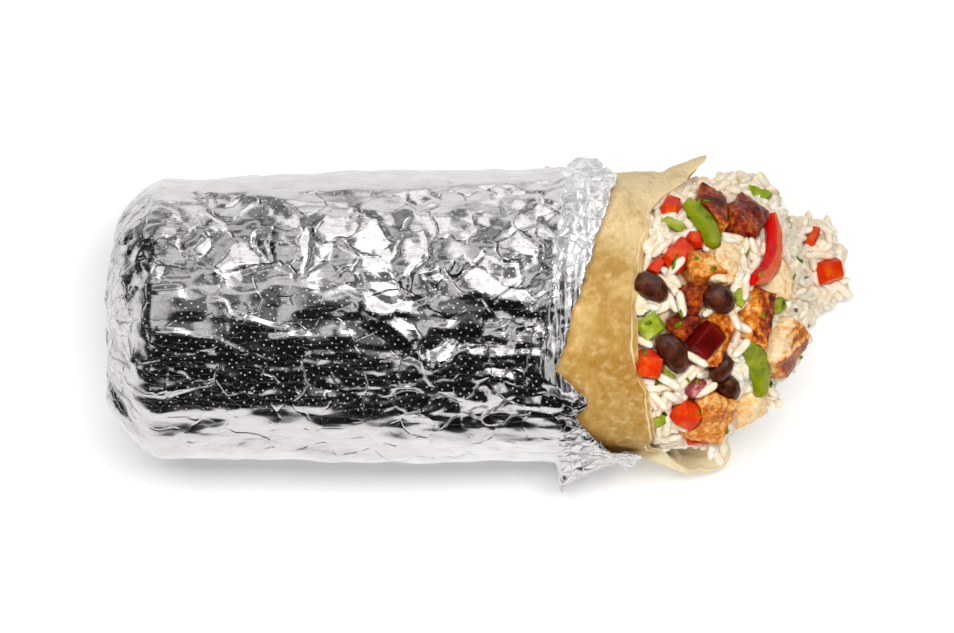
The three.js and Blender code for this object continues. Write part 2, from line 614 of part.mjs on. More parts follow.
// Grains lie along the surface, spread evenly by a low-discrepancy rule, clear of the larger pieces.
function grainSolids() {
  const random = randomSource(71);
  const [low, high] = [GRAIN_SEARCH.from, GRAIN_SEARCH.to];
  const taken = PIECES.flatMap(({ list }) => list.map(([x, y, lift, turn, size]) => ({
    toPiece: onHeap(x, y, lift, turn).invert(),
    half: new THREE.Vector3(...size).multiplyScalar(0.5).addScalar(GRAIN_ROOM),
  })));
  const grains = [];
  for (let draw = 1; grains.length < GRAIN_COUNT && draw < 40 * GRAIN_COUNT; draw++) {
    const x = THREE.MathUtils.lerp(low[0], high[0], (draw * 0.754877666) % 1);
    const y = THREE.MathUtils.lerp(low[1], high[1], (draw * 0.569840291) % 1);
    const place = onHeap(x, y, GRAIN.radius * (1 - 2 * GRAIN.sunk), TURN * random());
    const middle = new THREE.Vector3().setFromMatrixPosition(place);
    const angle = Math.atan2(y, middle.z - AXIS_HEIGHT) / DEGREE;
    if (middle.z < 4 || x < between(TORTILLA_EDGE, angle) + innerReach(angle) + GRAIN_FROM_RIM) continue;
    const within = ({ toPiece, half }) => middle.clone().applyMatrix4(toPiece).divide(half).length() < 1;
    if (taken.some(within)) continue;
    grains.push(solidFrom(grainShape().applyMatrix4(place)));
  }
  return grains;
}

function riceGeometry(cutters) {
  const heap = [heapCore(), ...SPILLS.map(spillSolid), ...grainSolids()].reduce((sum, solid) => sum.add(solid));
  return geometryFrom(largestBody(cutters.reduce((left, cutter) => left.subtract(cutter), heap)));
}

// The burrito

function plainMesh(name, geometry, colour, roughness, metalness) {
  const mesh = new THREE.Mesh(geometry, new THREE.MeshStandardMaterial({ color: colour, roughness, metalness }));
  mesh.name = name;
  return mesh;
}

const burrito = new THREE.Group();
const { meshes, cutters } = pieceMeshes(solidFrom(tortillaGeometry(CLEARANCE)));
burrito.add(
  plainMesh('foil', foilGeometry(), 0xc9c7c7, 0.2, 1),
  plainMesh('tortilla', tortillaGeometry(), 0xd2a765, 0.75, 0),
  plainMesh('rice', riceGeometry(cutters), 0xe9e1d2, 0.5, 0),
  ...meshes,
);

export default burrito;
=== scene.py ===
"""A burrito in crumpled foil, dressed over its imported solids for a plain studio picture."""

import json
import math
from types import SimpleNamespace

import bmesh
import bpy
import numpy as np
from mathutils import Matrix, Vector
from mathutils.bvhtree import BVHTree

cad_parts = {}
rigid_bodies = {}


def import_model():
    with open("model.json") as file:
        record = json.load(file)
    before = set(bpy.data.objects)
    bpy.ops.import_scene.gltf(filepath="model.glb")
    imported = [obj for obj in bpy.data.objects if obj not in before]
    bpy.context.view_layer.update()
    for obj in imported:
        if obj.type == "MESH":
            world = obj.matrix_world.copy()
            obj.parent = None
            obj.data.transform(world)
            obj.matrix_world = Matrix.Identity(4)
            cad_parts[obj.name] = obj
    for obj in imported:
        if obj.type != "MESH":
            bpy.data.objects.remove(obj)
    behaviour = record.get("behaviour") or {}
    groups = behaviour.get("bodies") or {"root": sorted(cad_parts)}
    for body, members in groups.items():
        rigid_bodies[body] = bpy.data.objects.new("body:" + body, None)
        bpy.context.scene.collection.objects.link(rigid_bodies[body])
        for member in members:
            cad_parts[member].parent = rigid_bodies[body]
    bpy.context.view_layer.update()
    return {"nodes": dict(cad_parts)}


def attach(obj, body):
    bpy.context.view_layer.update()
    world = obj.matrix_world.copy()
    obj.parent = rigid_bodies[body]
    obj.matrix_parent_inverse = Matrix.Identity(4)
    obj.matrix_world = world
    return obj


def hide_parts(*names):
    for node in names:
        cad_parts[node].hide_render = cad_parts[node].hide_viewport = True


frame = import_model()
MM = 0.001
UP = Vector((0, 0, 1))
DOWN = -UP

# The roll, in millimetres
AXIS_HEIGHT = 32
ROLL_RADIUS = 36
RAY_REACH = 80
FOIL_PIVOT = -50  # the rounded end is measured from this point of the axis
FOOD_TUCK = 0.12  # share by which the hidden food is drawn in from the foil
FOOD_HIDDEN = 38, 26  # places along the roll over which the food goes out of sight

# Foil sheet
FOIL_COLUMNS = 334
FOIL_HIDDEN_COLUMNS = 36  # the coarse ones on the underside
FOIL_SHOWN = math.radians(-150), math.radians(118)  # angles from the top that have fine columns
FOIL_END_ROWS = 84
FOIL_END_LENGTH = 45  # of the sheet that covers the rounded end
FOIL_SIDE_ROWS = 182
FOIL_SIDE_LENGTH = 100
FOIL_INNER_ROWS = 10
FOIL_INNER_LENGTH = 16
FOIL_SHEET = 0.35  # thickness
FOIL_LOWEST = 0.02
FOIL_INNER_LOWEST = 0.3
TORN_EDGE_SEARCH = 70, 30, -0.25  # along the roll, from the mouth inwards
TORN_EDGE_USUAL = 40.0
TORN_EDGE_MARGIN = 0.3
TORN_ROWS = 12  # the rows that the jags of the torn edge move
EMBOSS_PITCH = 1.85
EMBOSS_DOT = 0.3
EMBOSS_UNEVEN = 0.42
EMBOSS_TURN = math.radians(38)

# Facets of the crumpled foil
FACET = 8.5
SMALL_FACET = 3.8
CRUSHED_FACET = 2.6
DRAWN_FACET = 2.2
STREAK = 0.9

# Layers of creases in the foil: height, size along and around the roll, and seed of each
FOIL_LAYERS = {
    "bend_along": [(1.6, 8, 8, 41)],
    "bend_around": [(1.2, 8, 8, 42)],
    "wander": [(7, 22, 40, 43)],
    "facets": [(0.72, FACET, FACET, 51), (0.08, 3, 3.2, 52)],
    "folds": [(0.3, 14, 4.6, 53), (0.14, 6, 2.5, 54)],
    "small": [(0.03, 1.4, 1.4, 55)],
    "streaks": [(0.5, 1.5, 12, 59), (0.3, 1.8, 1.8, 60)],
    "crush": [(0.8, 4.4, 4.4, 63), (0.4, 2, 2, 64)],
    "patches": [(1, 20, 10, 65)],
    "rumples": [(0.95, 7.5, 3.4, 66), (0.4, 3, 2.1, 67)],
    "torn_edge": [(0.5, 1.7, 1, 3), (0.5, 4.5, 1, 4)],  # sizes along the edge
    "flap_edge": [(0.12, 3, 1, 71)],
}
GROOVES = -0.6, 8, 9, 61  # depth, size along and around the roll, and seed

# Zones of the foil: angles from the top, in degrees, over which each one starts and ends
CUFF_STARTS, CUFF_ENDS = (-46, -38), (125, 105)
CUFF_UPPER = -4, 20
FLAP_STARTS, FLAP_ENDS = (-40, -60), (-175, -160)
CURL_STARTS, CURL_ENDS = (60, 74), (122, 108)
DOTS_START, DOTS_END = (-56, -46), (66, 56)
TAPER_STARTS, TAPER_ENDS = (35, 75), (130, 100)
TOP_STARTS = 0, 8
MIDDLE_STARTS, MIDDLE_ENDS = (-52, -44), (12, 2)
LOW_STARTS = -22, -32
BOTTOM_STARTS = -48, -60

# Places along the roll over which zones start and end
OPEN_SIDE = -30, 15
ZONES_TURN, ZONES_TURN_OPEN = -4, 10  # degrees by which the zones turn, and how much more at the open side
PATCH_LEVELS = -0.7, -0.2
CLOSED_END = -60, -66
CLOSED_CAP = -64, -68
DOTLESS_CAP = -70, -66
FLAP_ALONG = 40, 43
CURL_LENGTH = 9, 6  # back from the torn edge
CUFF_WIDTH = 5, 8  # at the bottom, and how much wider it gets to the top
CUFF_WIDENS = -30, 60
TAPER_ALONG = -20, -60
TAPER = 1.6
CAP_ALONG = -61, -68
CAP_DRAWN_IN = 0.4
NEAR_FILL_ALONG = 30, 0
BLURRED_ALONG = 40, 34
BLURRED, BLURRED_MOUTH = 12, 3  # rounds of averaging along the roll and at its mouth
FLOOR_CLEAR = 0.3, 3  # heights over which creases start above the floor

# Long creases of the foil where the photograph has them: height and width of the face that shows,
# then places along the roll and across the picture
FOIL_CREASES = [
    (0.75, 1.3, [(-60.5, -4.2), (-51, -5.4), (-44.2, -6.5), (-39.7, -9), (-36.9, -10.5)]),
    (0.6, 1.2, [(-46.6, 3.4), (-42, 2.5), (-41.4, 0), (-37.5, -1.2), (-31.2, -3.1), (-25.6, -4)]),
    (0.6, 1.2, [(-31.3, -5.9), (-25, -5.4), (-21.1, -5.4)]),
    (0.6, 1.1, [(-24, -11.6), (-21.7, -10.2), (-14.3, -9.9), (-10.2, -9.6),
                (-3.7, -10.5), (4.1, -11.1), (16, -12)]),
    (0.35, 1.4, [(-42, -19.7), (-34.1, -19.7), (-29.6, -17.8)]),
    (0.6, 2.2, [(-49.9, -24.3), (-42, -23.7), (-34.7, -22), (-29, -22), (-16.7, -23.1)]),
    (0.4, 1.2, [(-60.6, 5.9), (-52.7, 6.2)]),
    (1.7, 4.4, [(-9.1, 2.3), (-1.3, -3), (7.3, -10.4)]),
    (0.8, 2.6, [(6, -3.6), (14.8, -3.4)]),
    (0.7, 1.1, [(17.1, -10.5), (22.6, -8.4), (29.8, -9.6), (36.4, -10.2)]),
    (0.5, 1, [(22.6, -1.6), (33.3, -1.9)]),
    (0.8, 2.4, [(24.4, -6.5), (35.1, -7.4)]),
    (0.5, 1.6, [(6.5, -15), (10.1, -18.6), (17.8, -20.4), (21.4, -19.8)]),
    (0.35, 1.2, [(1.7, -18.6), (16.6, -20.9)]),
    (0.8, 4.5, [(1.5, -26), (14, -22), (36, -20.5)]),
]
CREASE_FALL = 5  # width of the far side of a crease
CREASE_FLIP = -14  # creases below this place across the picture show their lower face

# Angle from the top, in degrees, above which the far side lies smooth, by place along the roll
SMOOTH_FROM = [(-65, 56), (-52, 55), (-28, 43), (-12, 43), (0, 50), (32, 56), (43, 60)]

# The rounded end is fuller at its shoulder than its solid: angle from the end, spread, and most on each side
SHOULDER_LEAN = 53
SHOULDER_SPREAD = 12.5
SHOULDER_FAR = 3.4
SHOULDER_NEAR = 3.1
FAR_SIDE, NEAR_SIDE = (20, 70), (-20, -70)
NEAR_SIDE_FILL = 1.2  # how much further the near side reaches along the closed half
NEAR_FILL_AROUND = -55, -85
NEAR_FILL_LEAN = 30, 60

# The loose flap at the torn edge: where it starts across the roll, and the share of its width that is
# left there by place along the roll
FLAP_ROOT = -36
FLAP_BELOW = 36, 28  # heights over which the flap starts
FLAP_REACH = [(42.4, 1), (46.2, 0.65), (50, 0.47), (54.5, 0.3), (59, 0.48), (62, 0.7), (65, 1)]

# Tortilla, with the places along the roll, across it or up over which its zones start
TORTILLA_LEVELS = 3  # of dividing its faces
TORTILLA_LOWEST = 0.1
TORTILLA_SHOWN = 36, 44
RIM_ALONG = 50, 55
RIM_FACING = 0.45, 0.85  # parts of the normal along the roll
UNEVEN_ALONG = 55, 58
PEELED_ALONG = 62, 68
PEELED_BELOW = 30, 20
PEELED_OUT = -34, -40
# Places across the roll over which the painted light on the tortilla's far side and the painted shade on its
# near side start
PAINTED_LIGHT_SIDE = 2, 30
PAINTED_SHADE_SIDE = -4, -24

# Rice
GRAIN_LENGTH = 7.2
GRAIN_RADIUS = 1.15
GRAIN_LENGTHS = 0.84, 1.12  # shares of the usual length
GRAIN_RADII = 0.88, 1.1
GRAIN_BOW = 0.6
GRAIN_TILT = 0.3
GRAIN_LIFT = 0.1, 1.6  # above the surface of the heap
GRAIN_TRIES = 16000
GRAIN_MOST = 1400
GRAIN_GAP = 1.6
GRAIN_LOWEST = 0.05
GRAIN_SIDES = 8
# Half the outline of a grain: places along it and its radius there, both as shares
GRAIN_OUTLINE = [
    (-0.5, 0.0), (-0.485, 0.35), (-0.43, 0.68), (-0.3, 0.92), (0, 1),
    (0.3, 0.93), (0.43, 0.66), (0.485, 0.32), (0.5, 0.0),
]
HEAP_STARTS = 56  # along the roll
HEAP_LOWEST = 1.5
HEAP_TRIM = 3
HEAP_TRIM_ALONG = 84, 94
HEAP_TRIM_ACROSS = -4, -14
HEAP_TRIM_BELOW = 56, 40

# Place of each grain that lies on top, along and across the roll, and its angle in degrees
LAID_GRAINS = [
    (88.9, 11.8, -17), (95.3, 24.2, 50), (92, 29.2, 15), (87.9, 32.5, -10), (83.1, 29.4, -60),
    (66.3, 16.7, -55), (72.6, 27.6, 60), (69.7, 7.5, 45), (68.9, 2.4, -65), (70.8, -2.2, -80),
    (87, 2.4, 80), (83.9, -5.7, -75), (86.5, -6.8, -30), (84.8, -13.7, 0), (85.3, -16.6, -60),
    (87.3, -21.7, 15), (74.5, -15.4, -30), (74, -17.7, 30), (72, -34.4, -55), (105.5, 17.9, 45),
    (109, 21, 60), (107.2, -6.2, 85), (109.2, -0.5, -60), (60.9, -1.1, -45), (64.9, -3.4, 20),
    (63.5, 16.7, -50), (62.6, 13.3, 45), (84.5, -4.5, -70), (85, -8.5, 80), (84.2, -11, 20),
    (86, -10.5, -60), (85, -14.5, 10), (84.6, -17.5, -40), (86.5, -12.5, 45), (64.9, -22.9, 20),
    (67.7, -20.6, -30), (66.6, -25.2, 70), (68.3, -30.4, -20), (92.3, 33, 15), (96.8, 27.5, 55),
]

# Bits of herb on the rice
FLECKS = 30
FLECKS_ALONG = 61, 112
FLECKS_ACROSS = -32, 33
FLECK_LEAST_RISE = 0.3  # of the normal where a bit may lie
FLECK_OUTLINE = [(-1, 0), (-0.3, 0.9), (0.6, 0.8), (1, -0.1), (0.2, -0.9), (-0.7, -0.7)]

# Floor, in millimetres, and how strongly the floor and the room glow
FLOOR_HALF = 3000
FLOOR_DROP = 0.05
FLOOR_GLOW = 0.17
STUDIO_GLOW = 0.006

# Camera
CAMERA_TARGET = Vector((20, -0.8, 33)) * MM
CAMERA_DISTANCE = 690 * MM
CAMERA_ELEVATION = math.radians(82)
CAMERA_LENS = 100


def colour(red, green, blue):
    """Linear colour of an sRGB one from 0 to 255."""
    channels = [c / 255 for c in (red, green, blue)]
    linear = [c / 12.92 if c <= 0.04045 else ((c + 0.055) / 1.055) ** 2.4 for c in channels]
    return (*linear, 1.0)


def smooth(value, low, high):
    t = np.clip((value - low) / (high - low), 0, 1)
    return t * t * (3 - 2 * t)


# Noise on arrays


def random_at(i, j, k, seed):
    """Repeatable random numbers from 0 to 1 for whole-number places."""
    mixed = (
        i.astype(np.int64) * 374761393
        + j.astype(np.int64) * 668265263
        + k.astype(np.int64) * 1440662683
        + seed * 1013904223
    ) & 0xFFFFFFFF
    mixed = ((mixed ^ (mixed >> 15)) * 2246822519) & 0xFFFFFFFF
    mixed = ((mixed ^ (mixed >> 13)) * 3266489917) & 0xFFFFFFFF
    return ((mixed ^ (mixed >> 16)) & 0xFFFFFF) / 0xFFFFFF


SKEW = 0.366025404  # from a square grid to one of equal triangles
UNSKEW = 0.211324865


def facet_corners(u, v):
    """Corners of the grid triangle that holds each place, with the place's share of each corner."""
    skew = (u + v) * SKEW
    i, j = np.floor(u + skew), np.floor(v + skew)
    a, b = u + skew - i, v + skew - j
    step = (a > b).astype(float)
    most, least = np.maximum(a, b), np.minimum(a, b)
    return [(i, j, 1 - most), (i + step, j + 1 - step, most - least), (i + 1, j + 1, least)]


def facet_noise(u, v, seed):
    """Random heights from -1 to 1 on a grid of triangles, joined by flat facets as in a crumpled sheet."""
    corners = facet_corners(u, v)
    return 2 * sum(share * random_at(i, j, np.zeros_like(i), seed) for i, j, share in corners) - 1


def facet_dip(u, v):
    """How far flat facets between the corners of the grid lie inside a round sheet, per unit of curvature."""
    corners = facet_corners(u, v)
    return sum(share * (j - (i + j) * UNSKEW) ** 2 for i, j, share in corners) / 2 - v * v / 2


def soft_noise(points, size, seed):
    """Smooth random heights from -1 to 1 with bumps of the given size."""
    scaled = points / size
    cell = np.floor(scaled)
    part = scaled - cell
    part = part * part * (3 - 2 * part)
    total = np.zeros(len(points))
    for corner in range(8):
        step = np.array([corner & 1, corner >> 1 & 1, corner >> 2 & 1], float)
        weight = np.prod(np.where(step > 0, part, 1 - part), axis=1)
        at = cell + step
        total += weight * random_at(at[:, 0], at[:, 1], at[:, 2], seed)
    return 2 * total - 1


# Meshes


def get_points(mesh):
    points = np.empty(len(mesh.vertices) * 3)
    mesh.vertices.foreach_get("co", points)
    return points.reshape(-1, 3) / MM


def set_points(mesh, points):
    mesh.vertices.foreach_set("co", (points * MM).ravel())
    mesh.update()


def get_normals(mesh):
    normals = np.empty(len(mesh.vertices) * 3)
    mesh.vertex_normals.foreach_get("vector", normals)
    return normals.reshape(-1, 3)


def add_object(name, data):
    thing = bpy.data.objects.new(name, data)
    bpy.context.scene.collection.objects.link(thing)
    return thing


def mesh_from(name, points, faces):
    mesh = bpy.data.meshes.new(name)
    mesh.from_pydata((np.asarray(points) * MM).tolist(), [], [tuple(f) for f in faces])
    mesh.update()
    return mesh


def welded_copy(node, name):
    """A copy of a CAD node with its facets joined at their corners."""
    mesh = frame["nodes"][node].data.copy()
    mesh.materials.clear()
    work = bmesh.new()
    work.from_mesh(mesh)
    bmesh.ops.remove_doubles(work, verts=work.verts, dist=0.002 * MM)
    work.to_mesh(mesh)
    work.free()
    return add_object(name, mesh)


def apply_modifiers(thing):
    graph = bpy.context.evaluated_depsgraph_get()
    mesh = bpy.data.meshes.new_from_object(thing.evaluated_get(graph))
    thing.modifiers.clear()
    thing.data = mesh
    return thing


def remesh(thing, voxel, rounds=0, strength=0.5):
    """Even faces of the voxel's size, then smoothing."""
    change = thing.modifiers.new("remesh", "REMESH")
    change.mode = "VOXEL"
    change.voxel_size = voxel * MM
    if rounds:
        soften = thing.modifiers.new("soften", "SMOOTH")
        soften.factor = strength
        soften.iterations = rounds
    return apply_modifiers(thing)


def shade_smooth(mesh):
    mesh.polygons.foreach_set("use_smooth", np.ones(len(mesh.polygons), bool))


def add_attribute(mesh, name, values):
    values = np.asarray(values, np.float32)
    if values.ndim == 1:
        mesh.attributes.new(name, "FLOAT", "POINT").data.foreach_set("value", values)
    else:
        mesh.attributes.new(name, "FLOAT_VECTOR", "POINT").data.foreach_set("vector", values.ravel())


def tree_of(things):
    """Search tree over the meshes of some objects, in millimetres."""
    points, faces = [], []
    for thing in things:
        start = len(points)
        points.extend(v.co / MM for v in thing.data.vertices)
        faces.extend([start + i for i in polygon.vertices] for polygon in thing.data.polygons)
    return BVHTree.FromPolygons(points, faces)


def nodes_of(*names):
    return [frame["nodes"][name] for name in names]


def finish_piece(thing, material, slot, *nodes):
    thing.data.materials.clear()
    thing.data.materials.append(material)
    shade_smooth(thing.data)
    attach(thing, "root")
    if nodes:
        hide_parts(*nodes)
    return thing


# Materials


class Shader:
    """A material's node tree, with short calls for the nodes that are used here."""

    def __init__(self, name, **settings):
        self.material = bpy.data.materials.new(name)
        self.material.use_nodes = True
        self.nodes = self.material.node_tree.nodes
        self.links = self.material.node_tree.links
        self.surface = self.nodes["Principled BSDF"]
        for key, value in settings.items():
            self.surface.inputs[key.replace("_", " ")].default_value = value
        self.place = self.add("ShaderNodeTexCoord", {}).outputs["Object"]

    def add(self, kind, inputs, **settings):
        """A new node, with values or links for its inputs by name or number."""
        node = self.nodes.new(kind)
        for key, value in settings.items():
            setattr(node, key, value)
        for key, value in inputs.items():
            self.put(node.inputs[key], value)
        return node

    def put(self, socket, value):
        """Links an output to an input, or sets a plain value on it."""
        if isinstance(value, bpy.types.NodeSocket):
            self.links.new(value, socket)
        else:
            socket.default_value = value

    def set(self, name, value):
        self.put(self.surface.inputs[name], value)

    def attribute(self, name, output="Fac"):
        return self.add("ShaderNodeAttribute", {}, attribute_name=name).outputs[output]

    def moved(self, place, factors, turn):
        """A place, scaled along each axis and turned about the vertical."""
        inputs = {"Vector": place, "Scale": factors, "Rotation": (0, 0, turn)}
        return self.add("ShaderNodeMapping", inputs).outputs["Vector"]

    def noise(self, size, detail=3, rough=0.55, place=None, distortion=0, kind="FBM"):
        inputs = {"Vector": place or self.place, "Scale": 1 / (size * MM)}
        inputs.update({"Detail": detail, "Roughness": rough, "Distortion": distortion})
        return self.add("ShaderNodeTexNoise", inputs, noise_type=kind).outputs["Fac"]

    def ramp(self, value, *stops):
        """Colours at places from 0 to 1 along a value."""
        node = self.add("ShaderNodeValToRGB", {"Fac": value})
        elements = node.color_ramp.elements
        while len(elements) < len(stops):
            elements.new(0.5)
        for element, (position, shade) in zip(elements, stops):
            element.position = position
            element.color = shade
        return node.outputs["Color"]

    def spread(self, value, low, high, to_low=0.0, to_high=1.0):
        inputs = {"Value": value, "From Min": low, "From Max": high, "To Min": to_low, "To Max": to_high}
        return self.add("ShaderNodeMapRange", inputs, interpolation_type="SMOOTHSTEP").outputs["Result"]

    def combine(self, kind, first, second):
        return self.add("ShaderNodeMath", {0: first, 1: second}, operation=kind).outputs["Value"]

    def times(self, first, second):
        return self.combine("MULTIPLY", first, second)

    def plus(self, first, second):
        return self.combine("ADD", first, second)

    def mix(self, share, first, second, blend="MIX"):
        inputs = {0: share, 6: first, 7: second}
        return self.add("ShaderNodeMix", inputs, data_type="RGBA", blend_type=blend).outputs[2]

    def vector(self, kind, first, second, output="Vector"):
        return self.add("ShaderNodeVectorMath", {0: first, 1: second}, operation=kind).outputs[output]

    def cells(self, place, size, **settings):
        """Uneven cells of a size on a sheet with places in millimetres."""
        inputs = {"Vector": place, "Scale": 1 / size}
        return self.add("ShaderNodeTexVoronoi", inputs, voronoi_dimensions="2D", **settings)

    def bent(self, place, size, reach):
        """The place on a sheet, moved about so that lines on it curve."""
        inputs = {"Vector": place, "Scale": 1 / size, "Detail": 1}
        waves = self.add("ShaderNodeTexNoise", inputs, noise_dimensions="2D").outputs["Color"]
        shift = self.vector("SUBTRACT", waves, (0.5, 0.5, 0.5))
        return self.vector("ADD", place, self.vector("MULTIPLY", shift, (reach, reach, 0)))

    def facets(self, place, size, slope):
        """Height of flat facets that each lean their own way."""
        cells = self.cells(place, size)
        offset = self.vector("SUBTRACT", place, cells.outputs["Position"])
        lean = self.vector("SUBTRACT", cells.outputs["Color"], (0.5, 0.5, 0.5))
        return self.times(self.vector("DOT_PRODUCT", offset, lean, "Value"), 2 * slope)

    def cracks(self, place, size, width):
        """Narrow valleys along the borders of the facets of that size, from -1 at the bottom to 0."""
        cells = self.cells(place, size, feature="DISTANCE_TO_EDGE")
        return self.spread(cells.outputs["Distance"], 0, width / size, -1, 0)

    def relief(self, *layers):
        """Bumps one over another on the surface, each with its height, its depth and its strength."""
        normal = None
        for height, depth, strength in layers:
            inputs = {"Height": height, "Distance": depth * MM, "Strength": strength}
            if normal:
                inputs["Normal"] = normal
            normal = self.add("ShaderNodeBump", inputs).outputs["Normal"]
        self.set("Normal", normal)


def foil_dots(shader, sheet):
    """Share of an embossed dot at each place, with some of the dots faint."""
    dots = shader.cells(shader.moved(sheet, (1, 1, 1), EMBOSS_TURN), EMBOSS_PITCH)
    dots.inputs["Randomness"].default_value = EMBOSS_UNEVEN
    reach = EMBOSS_DOT / EMBOSS_PITCH
    dot = shader.spread(dots.outputs["Distance"], reach, 0.35 * reach)
    dot = shader.times(dot, shader.attribute("embossed"))
    clear = shader.spread(shader.noise(2.2, detail=1), 0.36, 0.58, to_low=0.3, to_high=1)
    return shader.times(dot, clear)


def foil_facets(shader, sheet):
    """Height of flat facets, with worn lines along some of their borders."""
    bent = shader.bent(sheet, size=7, reach=5)
    large = shader.facets(bent, FACET, slope=0.16)
    facets = shader.plus(large, shader.facets(sheet, SMALL_FACET, slope=0.05))
    worn = shader.spread(shader.noise(6, detail=2), 0.46, 0.6, to_low=0, to_high=0.34)
    lines = shader.times(shader.cracks(bent, FACET, width=0.5), worn)
    return shader.times(shader.plus(facets, lines), shader.attribute("rumpled"))


def foil_crushing(shader, sheet, lines, streaked):
    """Height of the small facets at the torn edge and of the long ones below them."""
    crumbs = shader.times(shader.cracks(sheet, CRUSHED_FACET, width=0.25), 0.12)
    crushed = shader.plus(shader.facets(sheet, CRUSHED_FACET, slope=0.22), crumbs)
    crushed = shader.times(crushed, shader.attribute("crushed"))
    streaks = shader.times(shader.facets(lines, STREAK, slope=0.4), streaked)
    return shader.plus(crushed, streaks)


def foil_material():
    shader = Shader("foil")
    sheet = shader.attribute("sheet", "Vector")
    streaked = shader.attribute("streaked")
    lines = shader.vector("MULTIPLY", sheet, (1, 0.1, 0))
    bare = shader.spread(shader.noise(0.8 / MM, 2, 0.5, lines), 0.42, 0.6, to_low=1, to_high=0)
    dull = shader.combine("SUBTRACT", shader.attribute("dull"), shader.times(streaked, bare))
    dot = foil_dots(shader, sheet)
    tone = shader.noise(5, detail=3)
    bright = shader.ramp(tone, (0.3, colour(210, 207, 206)), (0.7, colour(220, 217, 216)))
    shader.set("Base Color", shader.mix(dull, bright, colour(246, 244, 243)))
    rough = shader.spread(dull, 0, 1, to_low=0.21, to_high=0.22)
    dot_rough = shader.spread(dot, 0, 1, to_low=0, to_high=0.25)
    shader.set("Roughness", shader.plus(rough, dot_rough))
    dot_metal = shader.spread(dot, 0, 1, to_low=1, to_high=0.3)
    dull_metal = shader.spread(dull, 0, 1, to_low=1, to_high=0.6)
    shader.set("Metallic", shader.times(dot_metal, dull_metal))
    drawn_out = shader.vector("MULTIPLY", sheet, (0.18, 1, 0))
    crinkle = shader.noise(1.6, detail=4, rough=0.6, kind="RIDGED_MULTIFRACTAL")
    shader.relief(
        (foil_facets(shader, sheet), 1, 1),
        (foil_crushing(shader, sheet, lines, streaked), 1, 1),
        (shader.facets(drawn_out, DRAWN_FACET, slope=0.07), 1, 1),
        (crinkle, 0.05, 0.45),
        (shader.noise(0.6, detail=2, rough=0.5), 0.03, 0.3),
        (dot, 0.05, 0.5),
    )
    return shader.material


def tortilla_material():
    radius = 0.003, 0.002, 0.001
    shader = Shader("tortilla", Subsurface_Weight=0.1, Subsurface_Radius=radius, Roughness=0.7)
    broad = shader.noise(8, 4, 0.62, shader.moved(shader.place, (1, 0.7, 0.7), 0), 0.8)
    blotch = shader.noise(2.2, 4, 0.68)
    speck = shader.noise(0.55, 3, 0.65)
    # The attribute pale carries painted light on the far side and painted shade on the near side
    tone = shader.plus(broad, shader.attribute("pale"))
    base = shader.ramp(
        tone,
        (0.26, colour(168, 122, 40)),
        (0.44, colour(186, 144, 68)),
        (0.62, colour(210, 174, 106)),
        (0.86, colour(248, 222, 170)),
    )
    marks = [
        (blotch, 0.46, 0.72, 0.5, (232, 206, 152)),
        (blotch, 0.48, 0.28, 0.45, (170, 124, 54)),
        (speck, 0.54, 0.74, 0.4, (164, 118, 54)),
        (speck, 0.46, 0.28, 0.25, (240, 218, 170)),
    ]
    for value, start, full, most, shade in marks:
        base = shader.mix(shader.spread(value, start, full, 0, most), base, colour(*shade))
    # Pale colour on the cut rim, which is its own, and on the peeled flap, where it is painted light over the
    # flap's shade
    base = shader.mix(shader.attribute("rim"), base, colour(255, 236, 192))
    shader.set("Base Color", base)
    shader.relief((blotch, 0.3, 0.4), (speck, 0.12, 0.45))
    return shader.material


def rice_material(name, low, high):
    radius = 0.0022, 0.0018, 0.0013
    shader = Shader(name, Subsurface_Weight=0.35, Subsurface_Radius=radius, Roughness=0.38)
    tone = shader.noise(2.4, 3)
    shader.set("Base Color", shader.ramp(tone, (0.3, low), (0.65, high)))
    shader.relief((shader.noise(0.8, 3), 0.08, 0.3))
    return shader.material


def chicken_material():
    """Grilled meat, from pale flesh to char along the sear of its surface."""
    radius = 0.003, 0.0015, 0.0008
    shader = Shader("chicken", Subsurface_Weight=0.12, Subsurface_Radius=radius, Specular_IOR_Level=0.18)
    fibre = shader.noise(1.0, 4, 0.6, shader.moved(shader.place, (0.3, 1, 1), 0.9), 0.5)
    crust = shader.noise(1.3, 4, 0.65)
    patch = shader.noise(3.4, 3, 0.6)
    sear = shader.plus(shader.attribute("sear"), shader.spread(crust, 0.3, 0.7, -0.14, 0.14))
    sear = shader.plus(sear, shader.spread(patch, 0.35, 0.65, -0.1, 0.1))
    base = shader.ramp(
        sear,
        (0.0, colour(254, 228, 184)),
        (0.22, colour(244, 194, 120)),
        (0.4, colour(226, 138, 38)),
        (0.58, colour(184, 84, 18)),
        (0.76, colour(132, 42, 16)),
        (0.96, colour(66, 16, 7)),
    )
    base = shader.mix(shader.spread(fibre, 0.4, 0.7, 0, 0.2), base, colour(178, 108, 52), "MULTIPLY")
    shader.set("Base Color", base)
    shader.set("Roughness", shader.spread(sear, 0.2, 0.8, 0.55, 0.26))
    shader.relief((fibre, 0.3, 0.5), (crust, 0.5, 0.6))
    return shader.material


# Wet vegetables: shades from deep to pale, size of their patches and roughness
WET_LOOKS = {
    "tomato": ((204, 22, 0), (218, 58, 2), (230, 108, 18), 3, 0.3),
    "green_dice": ((120, 136, 14), (154, 166, 40), (198, 200, 110), 3, 0.3),
    "green_pepper": ((92, 112, 1), (134, 144, 5), (168, 166, 28), 4, 0.3),
    "red_pepper": ((188, 1, 0), (206, 4, 0), (216, 18, 2), 5, 0.3),
    "roast_pepper": ((68, 2, 0), (104, 4, 1), (146, 8, 3), 5, 0.3),
    "onion": ((120, 18, 34), (162, 66, 68), (216, 172, 164), 2.5, 0.3),
    "cilantro": ((104, 128, 2), (136, 156, 6), (162, 178, 24), 2, 0.45),
    "herb": ((76, 104, 8), (108, 140, 16), (146, 168, 36), 2, 0.45),
}
CUT_EDGES = {"red_pepper": (224, 92, 34)}


